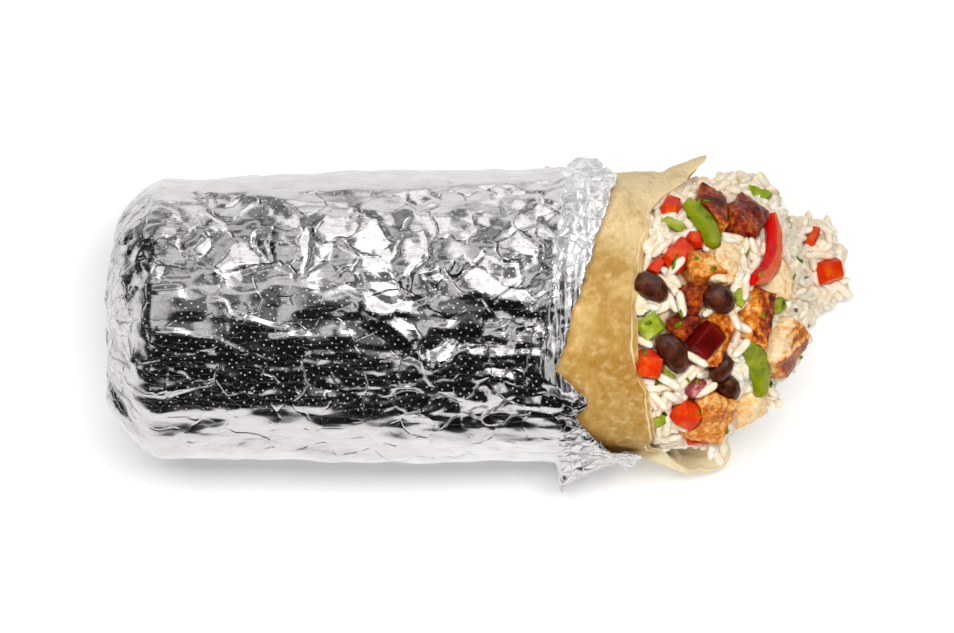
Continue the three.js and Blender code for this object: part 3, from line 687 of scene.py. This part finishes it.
def wet_material(name):
    """Wet flesh of a vegetable, with the colour of its cut edge where it has one."""
    deep, mid, pale, size, rough = WET_LOOKS[name]
    edge = CUT_EDGES.get(name, pale)
    radius = 0.0015, 0.0012, 0.0006
    shader = Shader(name, Subsurface_Weight=0.1, Subsurface_Radius=radius, Specular_IOR_Level=0.22)
    shader.set("Roughness", rough)
    tone = shader.noise(size, 3, 0.6)
    base = shader.ramp(tone, (0.3, colour(*deep)), (0.52, colour(*mid)), (0.75, colour(*pale)))
    shader.set("Base Color", shader.mix(shader.attribute("edge"), base, colour(*edge)))
    shader.relief((shader.noise(0.9, 3), 0.1, 0.4))
    return shader.material


def bean_material():
    shader = Shader("bean", Roughness=0.27, Specular_IOR_Level=0.35)
    tone = shader.noise(2.2, 3)
    shader.set("Base Color", shader.ramp(tone, (0.3, colour(30, 9, 4)), (0.7, colour(96, 46, 26))))
    shader.relief((shader.noise(1.2, 3), 0.06, 0.3))
    return shader.material


# Foil


def section_direction(angle):
    """Outward from the axis, at an angle from the top towards +Y."""
    return np.array([0, math.sin(angle), math.cos(angle)])


def first_hit(tree, middle, direction):
    start = middle + RAY_REACH * direction
    return tree.ray_cast(Vector(start), Vector(-direction), RAY_REACH)[0]


def torn_edge(tree, angle):
    """How far along the roll the foil reaches at an angle."""
    direction = section_direction(angle)
    for x in np.arange(*TORN_EDGE_SEARCH):
        if first_hit(tree, np.array([x, 0, AXIS_HEIGHT]), direction):
            return x
    return TORN_EDGE_USUAL


def blurred(grid, rounds):
    """Averages a grid of points along and around the roll."""
    for _ in range(rounds):
        around = (np.roll(grid, 1, 1) + np.roll(grid, -1, 1)) / 2
        along = grid.copy()
        along[1:-1] = (grid[2:] + grid[:-2]) / 2
        grid = 0.5 * grid + 0.25 * around + 0.25 * along
    return grid


def column_angles():
    """Angles of the foil's columns, close together where it shows and wide apart below."""
    first, last = FOIL_SHOWN
    shown = FOIL_COLUMNS - FOIL_HIDDEN_COLUMNS
    return np.interp(np.arange(FOIL_COLUMNS), [0, shown, FOIL_COLUMNS], [first, last, first + 2 * math.pi])


def end_row(tree, angles, lean):
    """Points of the rounded end on the rays that lean this far from the axis."""
    middle = np.array([FOIL_PIVOT, 0, AXIS_HEIGHT])
    back = np.array([math.cos(lean), 0, 0])
    return [first_hit(tree, middle, math.sin(lean) * section_direction(angle) - back) for angle in angles]


def side_row(tree, angles, edges, share):
    """Points at a share of the way from the rounded end to the torn edge."""
    places = FOIL_PIVOT + share * (edges - TORN_EDGE_MARGIN - FOIL_PIVOT)
    middles = [np.array([x, 0, AXIS_HEIGHT]) for x in places]
    return [first_hit(tree, middle, section_direction(angle)) for middle, angle in zip(middles, angles)]


def foil_grid():
    """Points of the foil's outer face from its closed end to its torn edge, as the CAD node has it."""
    tree = tree_of(nodes_of("foil"))
    angles = column_angles()
    edges = np.array([torn_edge(tree, angle) for angle in angles])
    leans = [math.radians(90 * row / FOIL_END_ROWS) for row in range(1, FOIL_END_ROWS + 1)]
    shares = [row / FOIL_SIDE_ROWS for row in range(1, FOIL_SIDE_ROWS + 1)]
    rows = [end_row(tree, angles, lean) for lean in leans]
    rows += [side_row(tree, angles, edges, share) for share in shares]
    grid = np.array([[list(point) for point in row] for row in rows])
    calm = smooth(grid[:, :, 0], *BLURRED_ALONG)[:, :, None]
    grid = calm * blurred(grid, BLURRED) + (1 - calm) * blurred(grid, BLURRED_MOUTH)
    torn = smooth(np.arange(len(rows)), len(rows) - TORN_ROWS, len(rows) - 1)[:, None]
    grid[:, :, 0] += torn * layered("torn_edge", angles * ROLL_RADIUS, 0 * angles)
    return grid, angles, edges


def grid_normals(grid):
    around = np.roll(grid, -1, 1) - np.roll(grid, 1, 1)
    along = np.gradient(grid, axis=0)
    normals = np.cross(along, around)
    return normals / np.maximum(np.linalg.norm(normals, axis=2, keepdims=True), 1e-9)


def layered(name, u, v):
    """Height of one kind of crease at places on the sheet, in millimetres."""
    layers = FOIL_LAYERS[name]
    return sum(height * facet_noise(u / along, v / around, seed) for height, along, around, seed in layers)


def ridge(u, v, share, seed):
    """One along broken lines across the sheet, falling to nothing on both sides of them."""
    return np.clip(1 - np.abs(facet_noise(u, v, seed)) / share, 0, 1)


def long_creases(x, y):
    """Height of the long creases at places seen from the camera, each a step with a slow fall behind it."""
    height = np.zeros_like(x)
    for rise, width, path in FOIL_CREASES:
        along, across = np.array(path).T
        ahead = y - np.interp(x, along, across)
        if across.mean() < CREASE_FLIP:
            ahead = -ahead
        step = np.clip(1 - ahead / width, 0, 1) * np.clip(1 + ahead / CREASE_FALL, 0, 1)
        ends = smooth(x, along[0] - 1, along[0] + 2) * smooth(x, along[-1] + 1, along[-1] - 2)
        height += rise * step * ends
    return height


def between(value, starts, ends):
    """One inside a zone, with a soft start and a soft end."""
    return smooth(value, *starts) * smooth(value, *ends)


def torn_zones(x, degrees, edges):
    """Shares of the zones along the torn edge, from 0 to 1: its cuff, its flap and its curl."""
    narrow, wider = CUFF_WIDTH
    cuff_from = edges - narrow - wider * smooth(degrees, *CUFF_WIDENS)
    cuff = smooth(x, cuff_from - 0.6, cuff_from + 0.4) * between(degrees, CUFF_STARTS, CUFF_ENDS)
    flap = smooth(x, *FLAP_ALONG) * between(degrees, FLAP_STARTS, FLAP_ENDS)
    curl_from, curl_to = CURL_LENGTH
    curl = smooth(x, edges - curl_from, edges - curl_to) * between(degrees, CURL_STARTS, CURL_ENDS)
    upper = smooth(degrees, *CUFF_UPPER)
    return SimpleNamespace(cuff=cuff, flap=flap, curl=curl, loose=np.maximum(flap, curl), upper=upper)


def crumpled_zones(u, v, degrees):
    """Places on the sheet with its lines bent, and shares of the zones that crumple in their own ways."""
    open_side = smooth(u, *OPEN_SIDE)
    turned = degrees + layered("wander", u, v) + ZONES_TURN_OPEN * open_side + ZONES_TURN
    u, v = u + layered("bend_along", u, v), v + layered("bend_around", u, v)
    end = smooth(u, *CLOSED_END)
    calm_from = np.interp(u, *np.array(SMOOTH_FROM).T)
    top = smooth(turned, *TOP_STARTS) * smooth(degrees, calm_from + 3, calm_from - 4)
    calm = 1 - np.maximum(end, top)
    patches = np.maximum(open_side, 0.5 * smooth(turned, *LOW_STARTS))
    patches = patches * smooth(layered("patches", u, v), *PATCH_LEVELS)
    return u, v, SimpleNamespace(
        open_side=open_side,
        turned=turned,
        end=end,
        top=top,
        calm=calm,
        busy=np.maximum(0.6 * end, top),
        patches=calm * between(turned, MIDDLE_STARTS, MIDDLE_ENDS) * patches,
        far_side=smooth(degrees, calm_from - 4, calm_from + 4),
    )


def crumple(u, v, part, torn):
    """Height of the foil's creases at places on the sheet, in millimetres."""
    flat = -facet_dip(u / FACET, v / FACET) * FACET ** 2 / ROLL_RADIUS
    depth, along, around, seed = GROOVES
    grooves = ridge(u / along, v / around, 0.13 - 0.03 * part.open_side, seed)
    grooves = depth * (1 - 0.5 * part.end) * grooves
    folds = layered("folds", u, v) * (1 - 0.6 * part.far_side)
    height = part.busy * (layered("facets", u, v) + grooves + flat) + part.calm * folds
    height += (0.5 + 0.5 * part.busy) * layered("small", u, v)
    height += part.patches * layered("rumples", u, v)
    edge = torn.cuff * layered("streaks", u, v)
    height = (height * (1 - 0.5 * torn.cuff) + edge) * (1 - torn.loose)
    return height + torn.loose * layered("crush", u, v)


def rumpling(part, torn):
    """How strongly the facets of the material show, with a little everywhere."""
    crumpled = np.maximum(1.3 * part.end, part.top)
    rumpled = np.maximum(crumpled, np.maximum(1.7 * part.patches, 0.8 * torn.loose))
    rumpled = (1 - torn.cuff) * rumpled + torn.cuff * (0.35 + 0.6 * smooth(part.turned, 0, 25))
    return np.maximum(rumpled, 0.18 + 0.2 * smooth(part.turned, *BOTTOM_STARTS))


def shaping(x, degrees):
    """How far the foil stands out from its solid where the photograph has it fuller or slimmer."""
    lean = 90 * np.arange(1, len(x) + 1)[:, None] / FOIL_END_ROWS
    shoulder = np.exp(-((lean - SHOULDER_LEAN) / SHOULDER_SPREAD) ** 2 / 2)
    far, near = smooth(degrees, *FAR_SIDE), smooth(degrees, *NEAR_SIDE)
    shoulder = shoulder * (SHOULDER_FAR * far + SHOULDER_NEAR * near)
    near_side = smooth(x, *NEAR_FILL_ALONG) * smooth(degrees, *NEAR_FILL_AROUND)
    near_side = near_side * smooth(lean, *NEAR_FILL_LEAN)
    taper = smooth(x, *TAPER_ALONG) * between(degrees, TAPER_STARTS, TAPER_ENDS)
    cap = smooth(x, *CAP_ALONG)
    return shoulder + NEAR_SIDE_FILL * near_side - TAPER * taper - CAP_DRAWN_IN * cap


def seen_across(grid):
    """Places of the foil's points across the picture, in millimetres."""
    rise = grid[:, :, 2] - AXIS_HEIGHT
    return math.sin(CAMERA_ELEVATION) * grid[:, :, 1] + math.cos(CAMERA_ELEVATION) * rise


def flap_pulled_in(grid, flap):
    """Places of the flap's points across the roll, drawn towards its root so that it comes to a point."""
    x, y, z = np.moveaxis(grid, 2, 0)
    reach = np.interp(x, *np.array(FLAP_REACH).T) + layered("flap_edge", x, 0 * x)
    low = flap * smooth(z, *FLAP_BELOW)
    return FLAP_ROOT + (y - FLAP_ROOT) * (1 - low * (1 - np.clip(reach, 0.05, 1)))


def displaced(grid, normals, height, flap):
    """The foil's points moved out by a height, with its flap drawn in and nothing below the floor."""
    grid = grid + normals * (height * smooth(grid[:, :, 2], *FLOOR_CLEAR))[:, :, None]
    across = grid[:, :, 1]
    grid[:, :, 1] = np.where(across < FLAP_ROOT, flap_pulled_in(grid, flap), across)
    grid[:, :, 2] = np.maximum(grid[:, :, 2], FOIL_LOWEST)
    return grid


def inner_face(grid, normals):
    """Rows of the foil's inner face, from its lip back into the roll."""
    rows = [grid[-1] - FOIL_SHEET * normals[-1]]
    for row in range(1, FOIL_INNER_ROWS + 1):
        back = 1 + int(row * FOIL_SIDE_ROWS * FOIL_INNER_LENGTH / (FOIL_SIDE_LENGTH * FOIL_INNER_ROWS))
        rows.append(grid[-back] - FOIL_SHEET * normals[-back])
    rows = np.array(rows)
    rows[:, :, 2] = np.maximum(rows[:, :, 2], FOIL_INNER_LOWEST)
    return rows


def sleeve_mesh(name, rows):
    """Mesh of rows of points around the roll, closed by a fan at the first row."""
    count, columns = rows.shape[:2]
    points = np.concatenate([rows.reshape(-1, 3), rows[0].mean(axis=0)[None]])
    at = np.arange(count * columns).reshape(count, columns)
    beside = np.roll(at, -1, 1)
    faces = np.stack([at[:-1], at[1:], beside[1:], beside[:-1]], axis=-1).reshape(-1, 4).tolist()
    pole = len(points) - 1
    faces += [[pole, first, second] for first, second in zip(at[0], beside[0])]
    return mesh_from(name, points, faces)


def over_sleeve(values, inner_rows):
    """Values for every point of the sleeve: the inner rows repeat the lip's, and the pole has none."""
    every = np.concatenate([values, np.repeat(values[-1:], inner_rows, axis=0)])
    every = every.reshape(-1, *values.shape[2:])
    return np.concatenate([every, np.zeros_like(every[:1])])


def foil_attributes(u, v, x, degrees, torn):
    """Values over the foil's grid that its material reads, apart from how rumpled it is."""
    cap = 0.3 * smooth(x, *CLOSED_CAP)
    dots = between(degrees, DOTS_START, DOTS_END) * smooth(x, *DOTLESS_CAP) * (1 - torn.loose)
    return {
        "dull": np.maximum(torn.cuff, 0.35 * torn.curl),
        "crushed": np.maximum(np.maximum(torn.cuff * torn.upper, 1.6 * torn.loose), cap),
        "streaked": torn.cuff * (1 - torn.upper),
        "embossed": dots * (1 - 0.9 * torn.cuff),
        "sheet": np.stack([u, v, np.zeros_like(u)], axis=-1),
    }


def make_foil():
    grid, angles, edges = foil_grid()
    normals = grid_normals(grid)
    x = grid[:, :, 0]
    u = x.copy()
    u[:FOIL_END_ROWS] = np.linspace(-FOIL_END_LENGTH, 0, FOIL_END_ROWS)[:, None] + FOIL_PIVOT
    v = np.broadcast_to(angles, u.shape) * ROLL_RADIUS
    degrees = np.degrees(np.broadcast_to(angles, u.shape))
    torn = torn_zones(x, degrees, edges)
    *bent, part = crumpled_zones(u, v, degrees)
    height = crumple(*bent, part, torn) + long_creases(x, seen_across(grid)) + shaping(x, degrees)
    grid = displaced(grid, normals, height, torn.flap)
    inner = inner_face(grid, normals)
    foil = add_object("foil_sheet", sleeve_mesh("foil_sheet", np.concatenate([grid, inner])))
    values = foil_attributes(u, v, grid[:, :, 0], degrees, torn)
    values["rumpled"] = rumpling(part, torn)
    for name, value in values.items():
        add_attribute(foil.data, name, over_sleeve(value, len(inner)))
    return finish_piece(foil, foil_material(), "foil", "foil")


# Tortilla


def tucked(points):
    """Points of the food, drawn in where the foil hides it so that the foil's creases stay clear."""
    share = 1 - FOOD_TUCK * smooth(points[:, 0], *FOOD_HIDDEN)
    end = np.minimum(points[:, 0] - FOIL_PIVOT, 0)
    middle = np.array([0, 0, AXIS_HEIGHT])
    drawn = middle + (points - middle) * share[:, None]
    drawn[:, 0] = points[:, 0] - FOOD_TUCK * end
    return drawn


def divided(thing, levels):
    """Joins triangles into quads where they lie flat, then divides and rounds the faces."""
    work = bmesh.new()
    work.from_mesh(thing.data)
    bmesh.ops.join_triangles(work, faces=work.faces, angle_face_threshold=1.0, angle_shape_threshold=3.0)
    work.to_mesh(thing.data)
    work.free()
    divide = thing.modifiers.new("divide", "SUBSURF")
    divide.levels = divide.render_levels = levels
    return apply_modifiers(thing)


def make_tortilla():
    sheet = divided(welded_copy("tortilla", "tortilla_sheet"), TORTILLA_LEVELS)
    points, normals = get_points(sheet.data), get_normals(sheet.data)
    x, _, z = points.T
    rim = smooth(normals[:, 0], *RIM_FACING) * smooth(x, *RIM_ALONG)
    flap = smooth(x, *PEELED_ALONG) * smooth(z, *PEELED_BELOW)
    shown = smooth(x, *TORTILLA_SHOWN)
    height = 0.35 * soft_noise(points * [1, 0.7, 0.7], 7, 5) + 0.14 * soft_noise(points, 2.2, 6)
    points += normals * (0.8 * height * shown)[:, None]
    points[:, 0] += 0.7 * shown * soft_noise(points, 3.4, 7) * smooth(points[:, 0], *UNEVEN_ALONG)
    waves = soft_noise(points * [1, 0.2, 1], 4, 8)
    points[:, 1] += 1.4 * flap * smooth(points[:, 1], *PEELED_OUT) * waves
    points = tucked(points)
    points[:, 2] = np.maximum(points[:, 2], TORTILLA_LOWEST)
    set_points(sheet.data, points)
    # The cut rim is paler in its own colour; the peeled flap takes the same pale colour as painted light over
    # the shade in its hollow
    add_attribute(sheet.data, "rim", np.maximum(rim, flap))
    # Painted light and shade: the far side is painted paler where light falls on it, and the near side darker
    # where it lies in shade
    pale = 0.38 * smooth(points[:, 1], *PAINTED_LIGHT_SIDE) - 0.14 * smooth(points[:, 1], *PAINTED_SHADE_SIDE)
    add_attribute(sheet.data, "pale", pale)
    return finish_piece(sheet, tortilla_material(), "tortilla", "tortilla")


# Larger pieces


def dressed(node, slot, material, voxel, rounds, relief):
    """A piece with rounded edges and an uneven surface in the place of its CAD node."""
    thing = remesh(welded_copy(node, node + "_piece"), voxel, rounds)
    points, normals = get_points(thing.data), get_normals(thing.data)
    height = sum(depth * soft_noise(points, size, 17 + i) for i, (size, depth) in enumerate(relief))
    set_points(thing.data, points + normals * height[:, None])
    return finish_piece(thing, material, slot, node)


def facing(thing, side, low, high):
    """How far each point of a piece faces a side, from 0 to 1."""
    return smooth(get_normals(thing.data) @ np.array(side), low, high)


# Each chunk's sear overall, the side that is seared most, and by how much
SEARED = [
    (0.54, (0.6, 0.6, 0.3), 0.25),
    (0.7, (0, 0, 1), 0.05),
    (0.0, (0, 1, 0), 0.16),
    (0.42, (0.8, -0.6, 0), 0.25),
    (-0.04, (1, 0, 0), 0.12),
    (0.66, (0, 0, 1), 0.1),
    (0.64, (0, 0, 1), 0.1),
    (0.34, (1, 0, 0.2), 0.36),
    (0.4, (0.9, 0.3, 0), 0.5),
    (0.05, (0.8, -0.7, -0.2), 0.6),
    (0.36, (0.8, 0, -0.3), 0.3),
    (0.1, (-0.4, 0.8, 0), 0.3),
]


def make_chicken():
    material = chicken_material()
    for number, (sear, side, more) in enumerate(SEARED, 1):
        node = f"chicken_{number}"
        chunk = dressed(node, "chicken", material, 0.35, 4, [(4.5, 0.45), (1.7, 0.28), (0.8, 0.12)])
        patches = 0.14 * soft_noise(get_points(chunk.data), 4, 30 + number)
        add_attribute(chunk.data, "sear", sear + more * facing(chunk, side, 0.1, 0.9) + patches)


BLOCK_RELIEF = [(3, 0.15), (1, 0.05)]  # size and depth of the bumps on a cut block

# Vegetables: how many numbered pieces, or 0 for one alone, then voxel, rounds of smoothing and relief
VEGETABLES = {
    "tomato": (9, 0.3, 3, BLOCK_RELIEF),
    "green_dice": (6, 0.25, 3, BLOCK_RELIEF),
    "bean": (5, 0.35, 8, [(3, 0.12)]),
    "green_pepper": (2, 0.3, 5, BLOCK_RELIEF),
    "red_pepper": (0, 0.3, 5, BLOCK_RELIEF),
    "roast_pepper": (0, 0.3, 2, [(4, 0.1)]),
    "onion": (0, 0.25, 3, BLOCK_RELIEF),
    "cilantro": (0, 0.2, 1, [(2, 0.1)]),
}


def make_vegetables():
    for name, (count, *way) in VEGETABLES.items():
        material = bean_material() if name == "bean" else wet_material(name)
        for node in [f"{name}_{number}" for number in range(1, count + 1)] or [name]:
            piece = dressed(node, name, material, *way)
            if name in CUT_EDGES:
                add_attribute(piece.data, "edge", facing(piece, (0.95, -0.3, -0.1), 0.3, 0.5))


# Rice


def grain_shape():
    """A cooked grain along X, of unit length and radius, as points and faces."""
    turns = [2 * math.pi * side / GRAIN_SIDES for side in range(GRAIN_SIDES)]
    points = [(GRAIN_OUTLINE[0][0], 0, 0)]
    for along, radius in GRAIN_OUTLINE[1:-1]:
        points += [(along, radius * math.cos(turn), radius * math.sin(turn)) for turn in turns]
    points.append((GRAIN_OUTLINE[-1][0], 0, 0))
    faces = []
    rings = len(GRAIN_OUTLINE) - 2
    for side in range(GRAIN_SIDES):
        after = (side + 1) % GRAIN_SIDES
        faces.append((0, 1 + after, 1 + side))
        for ring in range(rings - 1):
            low, high = 1 + ring * GRAIN_SIDES, 1 + (ring + 1) * GRAIN_SIDES
            faces.append((low + side, low + after, high + after, high + side))
        top = 1 + (rings - 1) * GRAIN_SIDES
        faces.append((top + side, top + after, len(points) - 1))
    return np.array(points), faces


def heap_trim(points):
    """How far the heap's foot is drawn in beside the chicken at the lower right, in millimetres."""
    x, y, z = points.T
    low = smooth(z, *HEAP_TRIM_BELOW)
    return HEAP_TRIM * smooth(x, *HEAP_TRIM_ALONG) * smooth(y, *HEAP_TRIM_ACROSS) * low


def open_surface():
    """Points spread over the part of the heap that shows, with their normals."""
    mesh = frame["nodes"]["rice"].data
    mesh.calc_loop_triangles()
    corners = get_points(mesh)[np.array([t.vertices[:] for t in mesh.loop_triangles])]
    cross = np.cross(corners[:, 1] - corners[:, 0], corners[:, 2] - corners[:, 0])
    area = np.linalg.norm(cross, axis=1)
    centre = corners.mean(axis=1)
    area[(centre[:, 0] < HEAP_STARTS) | (centre[:, 2] < HEAP_LOWEST)] = 0
    chance = area * (0.35 + smooth(cross[:, 2], 0, 0.6 * area))
    random = np.random.default_rng(7)
    picked = random.choice(len(area), GRAIN_TRIES, p=chance / chance.sum())
    a, b = random.random((2, GRAIN_TRIES, 1))
    fold = a + b > 1
    a, b = np.where(fold, 1 - a, a), np.where(fold, 1 - b, b)
    three = corners[picked]
    points = three[:, 0] + a * (three[:, 1] - three[:, 0]) + b * (three[:, 2] - three[:, 0])
    normals = cross[picked] / area[picked][:, None]
    return points - normals * heap_trim(points)[:, None], normals


def turned_to(normal, spin, tilt):
    """Axes of something that lies on a surface, spun about its normal and tilted off it."""
    lean = UP.rotation_difference(Vector(normal)).to_matrix()
    return np.array(lean @ Matrix.Rotation(spin, 3, "Z") @ Matrix.Rotation(tilt, 3, "Y"))


def crosses(tree, centre, axis, length, room):
    """Whether a grain comes closer than its room to a surface, or lies behind one."""
    for share in (-0.36, 0, 0.36):
        point = Vector(centre + share * length * axis)
        near, normal, _, distance = tree.find_nearest(point, 8)
        if near is not None and (distance < room or (point - near).dot(normal) < -0.8 * distance):
            return True
    return False


class Grains:
    """Grains of rice gathered into one mesh."""

    def __init__(self):
        self.random = np.random.default_rng(8)
        self.shape, self.faces = grain_shape()
        self.centres = np.empty((0, 3))
        self.points = []

    def crowded(self, centre):
        return len(self.centres) and np.min(np.linalg.norm(self.centres - centre, axis=1)) < GRAIN_GAP

    def size(self):
        length = GRAIN_LENGTH * self.random.uniform(*GRAIN_LENGTHS)
        return length, GRAIN_RADIUS * self.random.uniform(*GRAIN_RADII)

    def add(self, centre, turn, length, radius):
        bow = self.random.uniform(-GRAIN_BOW, GRAIN_BOW)
        grain = self.shape * [length, radius, radius]
        grain[:, 2] += bow * 4 * self.shape[:, 0] ** 2
        grain = grain @ turn.T + centre
        grain[:, 2] += max(0, GRAIN_LOWEST - grain[:, 2].min())
        self.points.append(grain)
        self.centres = np.vstack([self.centres, centre])

    def mesh(self):
        every = []
        for number in range(len(self.points)):
            start = number * len(self.shape)
            every.extend(tuple(start + i for i in face) for face in self.faces)
        return mesh_from("rice_grains", np.concatenate(self.points), every)


def scatter_grains(grains):
    """Fills the open surface of the heap and its spills with grains, clear of the larger pieces."""
    sheets = tree_of(nodes_of("tortilla", "foil"))
    chunks = tree_of(nodes_of(*[n for n in frame["nodes"] if n not in ("rice", "foil", "tortilla")]))
    random = grains.random
    for place, normal in zip(*open_surface()):
        centre = place + random.uniform(*GRAIN_LIFT) * normal
        turn = turned_to(normal, random.uniform(0, 2 * math.pi), random.normal(0, GRAIN_TILT))
        length, radius = grains.size()
        if grains.crowded(centre):
            continue
        if crosses(chunks, centre, turn[:, 0], length, 0.3 * radius):
            continue
        if crosses(sheets, centre, turn[:, 0], length, radius):
            continue
        grains.add(centre, turn, length, radius)
        if len(grains.points) == GRAIN_MOST:
            break


def lay_grains(grains):
    """Grains that lie on top of the pieces, where the photograph has them."""
    tree = tree_of(nodes_of(*frame["nodes"]))
    for x, y, angle in LAID_GRAINS:
        hit, normal, _, _ = tree.ray_cast(Vector((x, y, 2 * RAY_REACH)), DOWN)
        if hit is None:
            hit, normal = Vector((x, y, 0)), UP
        level = (normal + UP).normalized()
        length, radius = grains.size()
        centre = np.array(hit + 0.9 * radius * level)
        grains.add(centre, turned_to(level, math.radians(angle), 0), length, radius)


def make_rice():
    core = remesh(welded_copy("rice", "rice_core"), 1.2, 6)
    points, normals = get_points(core.data), get_normals(core.data)
    height = 0.35 * soft_noise(points, 2.4, 9) - 0.5 - heap_trim(points)
    set_points(core.data, tucked(points + normals * height[:, None]))
    # The core is painted darker than the grains, as painted shade in the gaps between them
    core_painted_shade = rice_material("rice_core", colour(206, 184, 148), colour(236, 218, 188))
    finish_piece(core, core_painted_shade, "rice", "rice")
    grains = Grains()
    lay_grains(grains)
    scatter_grains(grains)
    thing = add_object("rice_grains", grains.mesh())
    white = rice_material("rice_grains", colour(234, 213, 176), colour(253, 244, 228))
    finish_piece(thing, white, "rice")


def fleck(hit, normal, half, spin):
    """Points of a thin bent bit of leaf that lies on a surface, its lower face first."""
    flat = np.array(FLECK_OUTLINE) * half
    low = np.column_stack([flat, np.full(len(flat), 0.05)])
    high = np.column_stack([flat, 0.35 + 0.2 * np.sin(3 * flat[:, 0])])
    return np.vstack([low, high]) @ turned_to(normal, spin, 0.2).T + np.array(hit)


def fleck_faces(start):
    """Faces between the lower and the upper outline of a bit that starts at a point's number."""
    count = len(FLECK_OUTLINE)
    faces = [[start + i for i in reversed(range(count))], [start + count + i for i in range(count)]]
    for i in range(count):
        after = (i + 1) % count
        faces.append([start + i, start + after, start + count + after, start + count + i])
    return faces


def make_flecks():
    """Small cut bits of herb on the rice."""
    tree = tree_of([thing for thing in bpy.data.objects if thing.name.endswith(("_piece", "_grains"))])
    sheets = tree_of([bpy.data.objects["tortilla_sheet"]])
    random = np.random.default_rng(21)
    points, faces = [], []
    while len(points) < FLECKS:
        x, y = random.uniform(*FLECKS_ALONG), random.uniform(*FLECKS_ACROSS)
        above = Vector((x, y, 2 * RAY_REACH))
        hit, normal, _, _ = tree.ray_cast(above, DOWN)
        half = np.array([random.uniform(0.7, 1.6), random.uniform(0.35, 0.7)])
        if hit is None or normal.z < FLECK_LEAST_RISE:
            continue
        if sheets.ray_cast(above, DOWN, above.z - hit.z)[0]:
            continue
        faces.extend(fleck_faces(len(points) * 2 * len(FLECK_OUTLINE)))
        points.append(fleck(hit, normal, half, random.uniform(0, 2 * math.pi)))
    flecks = add_object("herb_flecks", mesh_from("herb_flecks", np.concatenate(points), faces))
    finish_piece(flecks, wet_material("herb"), "cilantro")


# Studio


def make_floor():
    corners = [(x * FLOOR_HALF, y * FLOOR_HALF, 0) for x, y in ((-1, -1), (1, -1), (1, 1), (-1, 1))]
    floor = add_object("floor", mesh_from("floor", corners, [(0, 1, 2, 3)]))
    floor.location.z = -FLOOR_DROP * MM
    shader = Shader("floor", Roughness=0.8, Emission_Color=(1, 1, 1, 1), Emission_Strength=FLOOR_GLOW)
    tone = shader.noise(60, 2)
    shader.set("Base Color", shader.ramp(tone, (0.3, (0.88, 0.88, 0.88, 1)), (0.7, (0.9, 0.9, 0.9, 1))))
    floor.data.materials.append(shader.material)


# Lights: place and size in millimetres, then power. Lamps light the food, and the others show in the foil
LAMPS = {
    "key": ((20, 60, 890), (700, 240), 7.7),
    "fill": ((90, -640, 520), (1200, 600), 3.3),
}
REFLECTED = {
    "softbox_high": ((-60, 310, 770), (760, 260), 0.54),
    "softbox_high_right": ((400, 330, 760), (640, 340), 1.1),
    "softbox_middle": ((-290, 600, 560), (620, 220), 0.32),
    "softbox_middle_right": ((340, 560, 600), (800, 300), 1.15),
    "softbox_right": ((320, 760, 260), (900, 400), 1.6),
    "softbox_left": ((-520, 760, 230), (760, 260), 0.23),
    "strip_left": ((-460, -60, 720), (300, 700), 0.54),
    "strip_right": ((500, -60, 720), (300, 700), 0.54),
    "overhead_right": ((40, -10, 860), (150, 230), 0.023),
    "spark": ((160, 330, 740), (260, 140), 0.26),
}


def add_light(name, place, size, power):
    """A rectangular soft light that faces the burrito."""
    data = bpy.data.lights.new(name, "AREA")
    data.shape = "RECTANGLE"
    data.size, data.size_y = size[0] * MM, size[1] * MM
    data.energy = power
    light = add_object(name, data)
    light.location = Vector(place) * MM
    aim = CAMERA_TARGET - light.location
    light.rotation_euler = aim.to_track_quat("-Z", "Y").to_euler()
    return light


def make_studio():
    make_floor()
    for name, light in LAMPS.items():
        add_light(name, *light).visible_glossy = False
    for name, light in REFLECTED.items():
        add_light(name, *light).visible_diffuse = False
    world = bpy.data.worlds.new("studio")
    world.use_nodes = True
    background = world.node_tree.nodes["Background"]
    background.inputs["Color"].default_value = (0.9, 0.92, 1, 1)
    background.inputs["Strength"].default_value = STUDIO_GLOW
    bpy.context.scene.world = world
    bpy.context.scene.view_settings.view_transform = "Standard"


def make_camera():
    data = bpy.data.cameras.new("camera")
    data.lens = CAMERA_LENS
    data.clip_start = 0.01
    camera = add_object("camera", data)
    back = Vector((0, -math.cos(CAMERA_ELEVATION), math.sin(CAMERA_ELEVATION)))
    camera.location = CAMERA_TARGET + CAMERA_DISTANCE * back
    camera.rotation_euler = (-back).to_track_quat("-Z", "Y").to_euler()
    bpy.context.scene.camera = camera


make_foil()
make_tortilla()
make_chicken()
make_vegetables()
make_rice()
make_flecks()
make_studio()
make_camera()
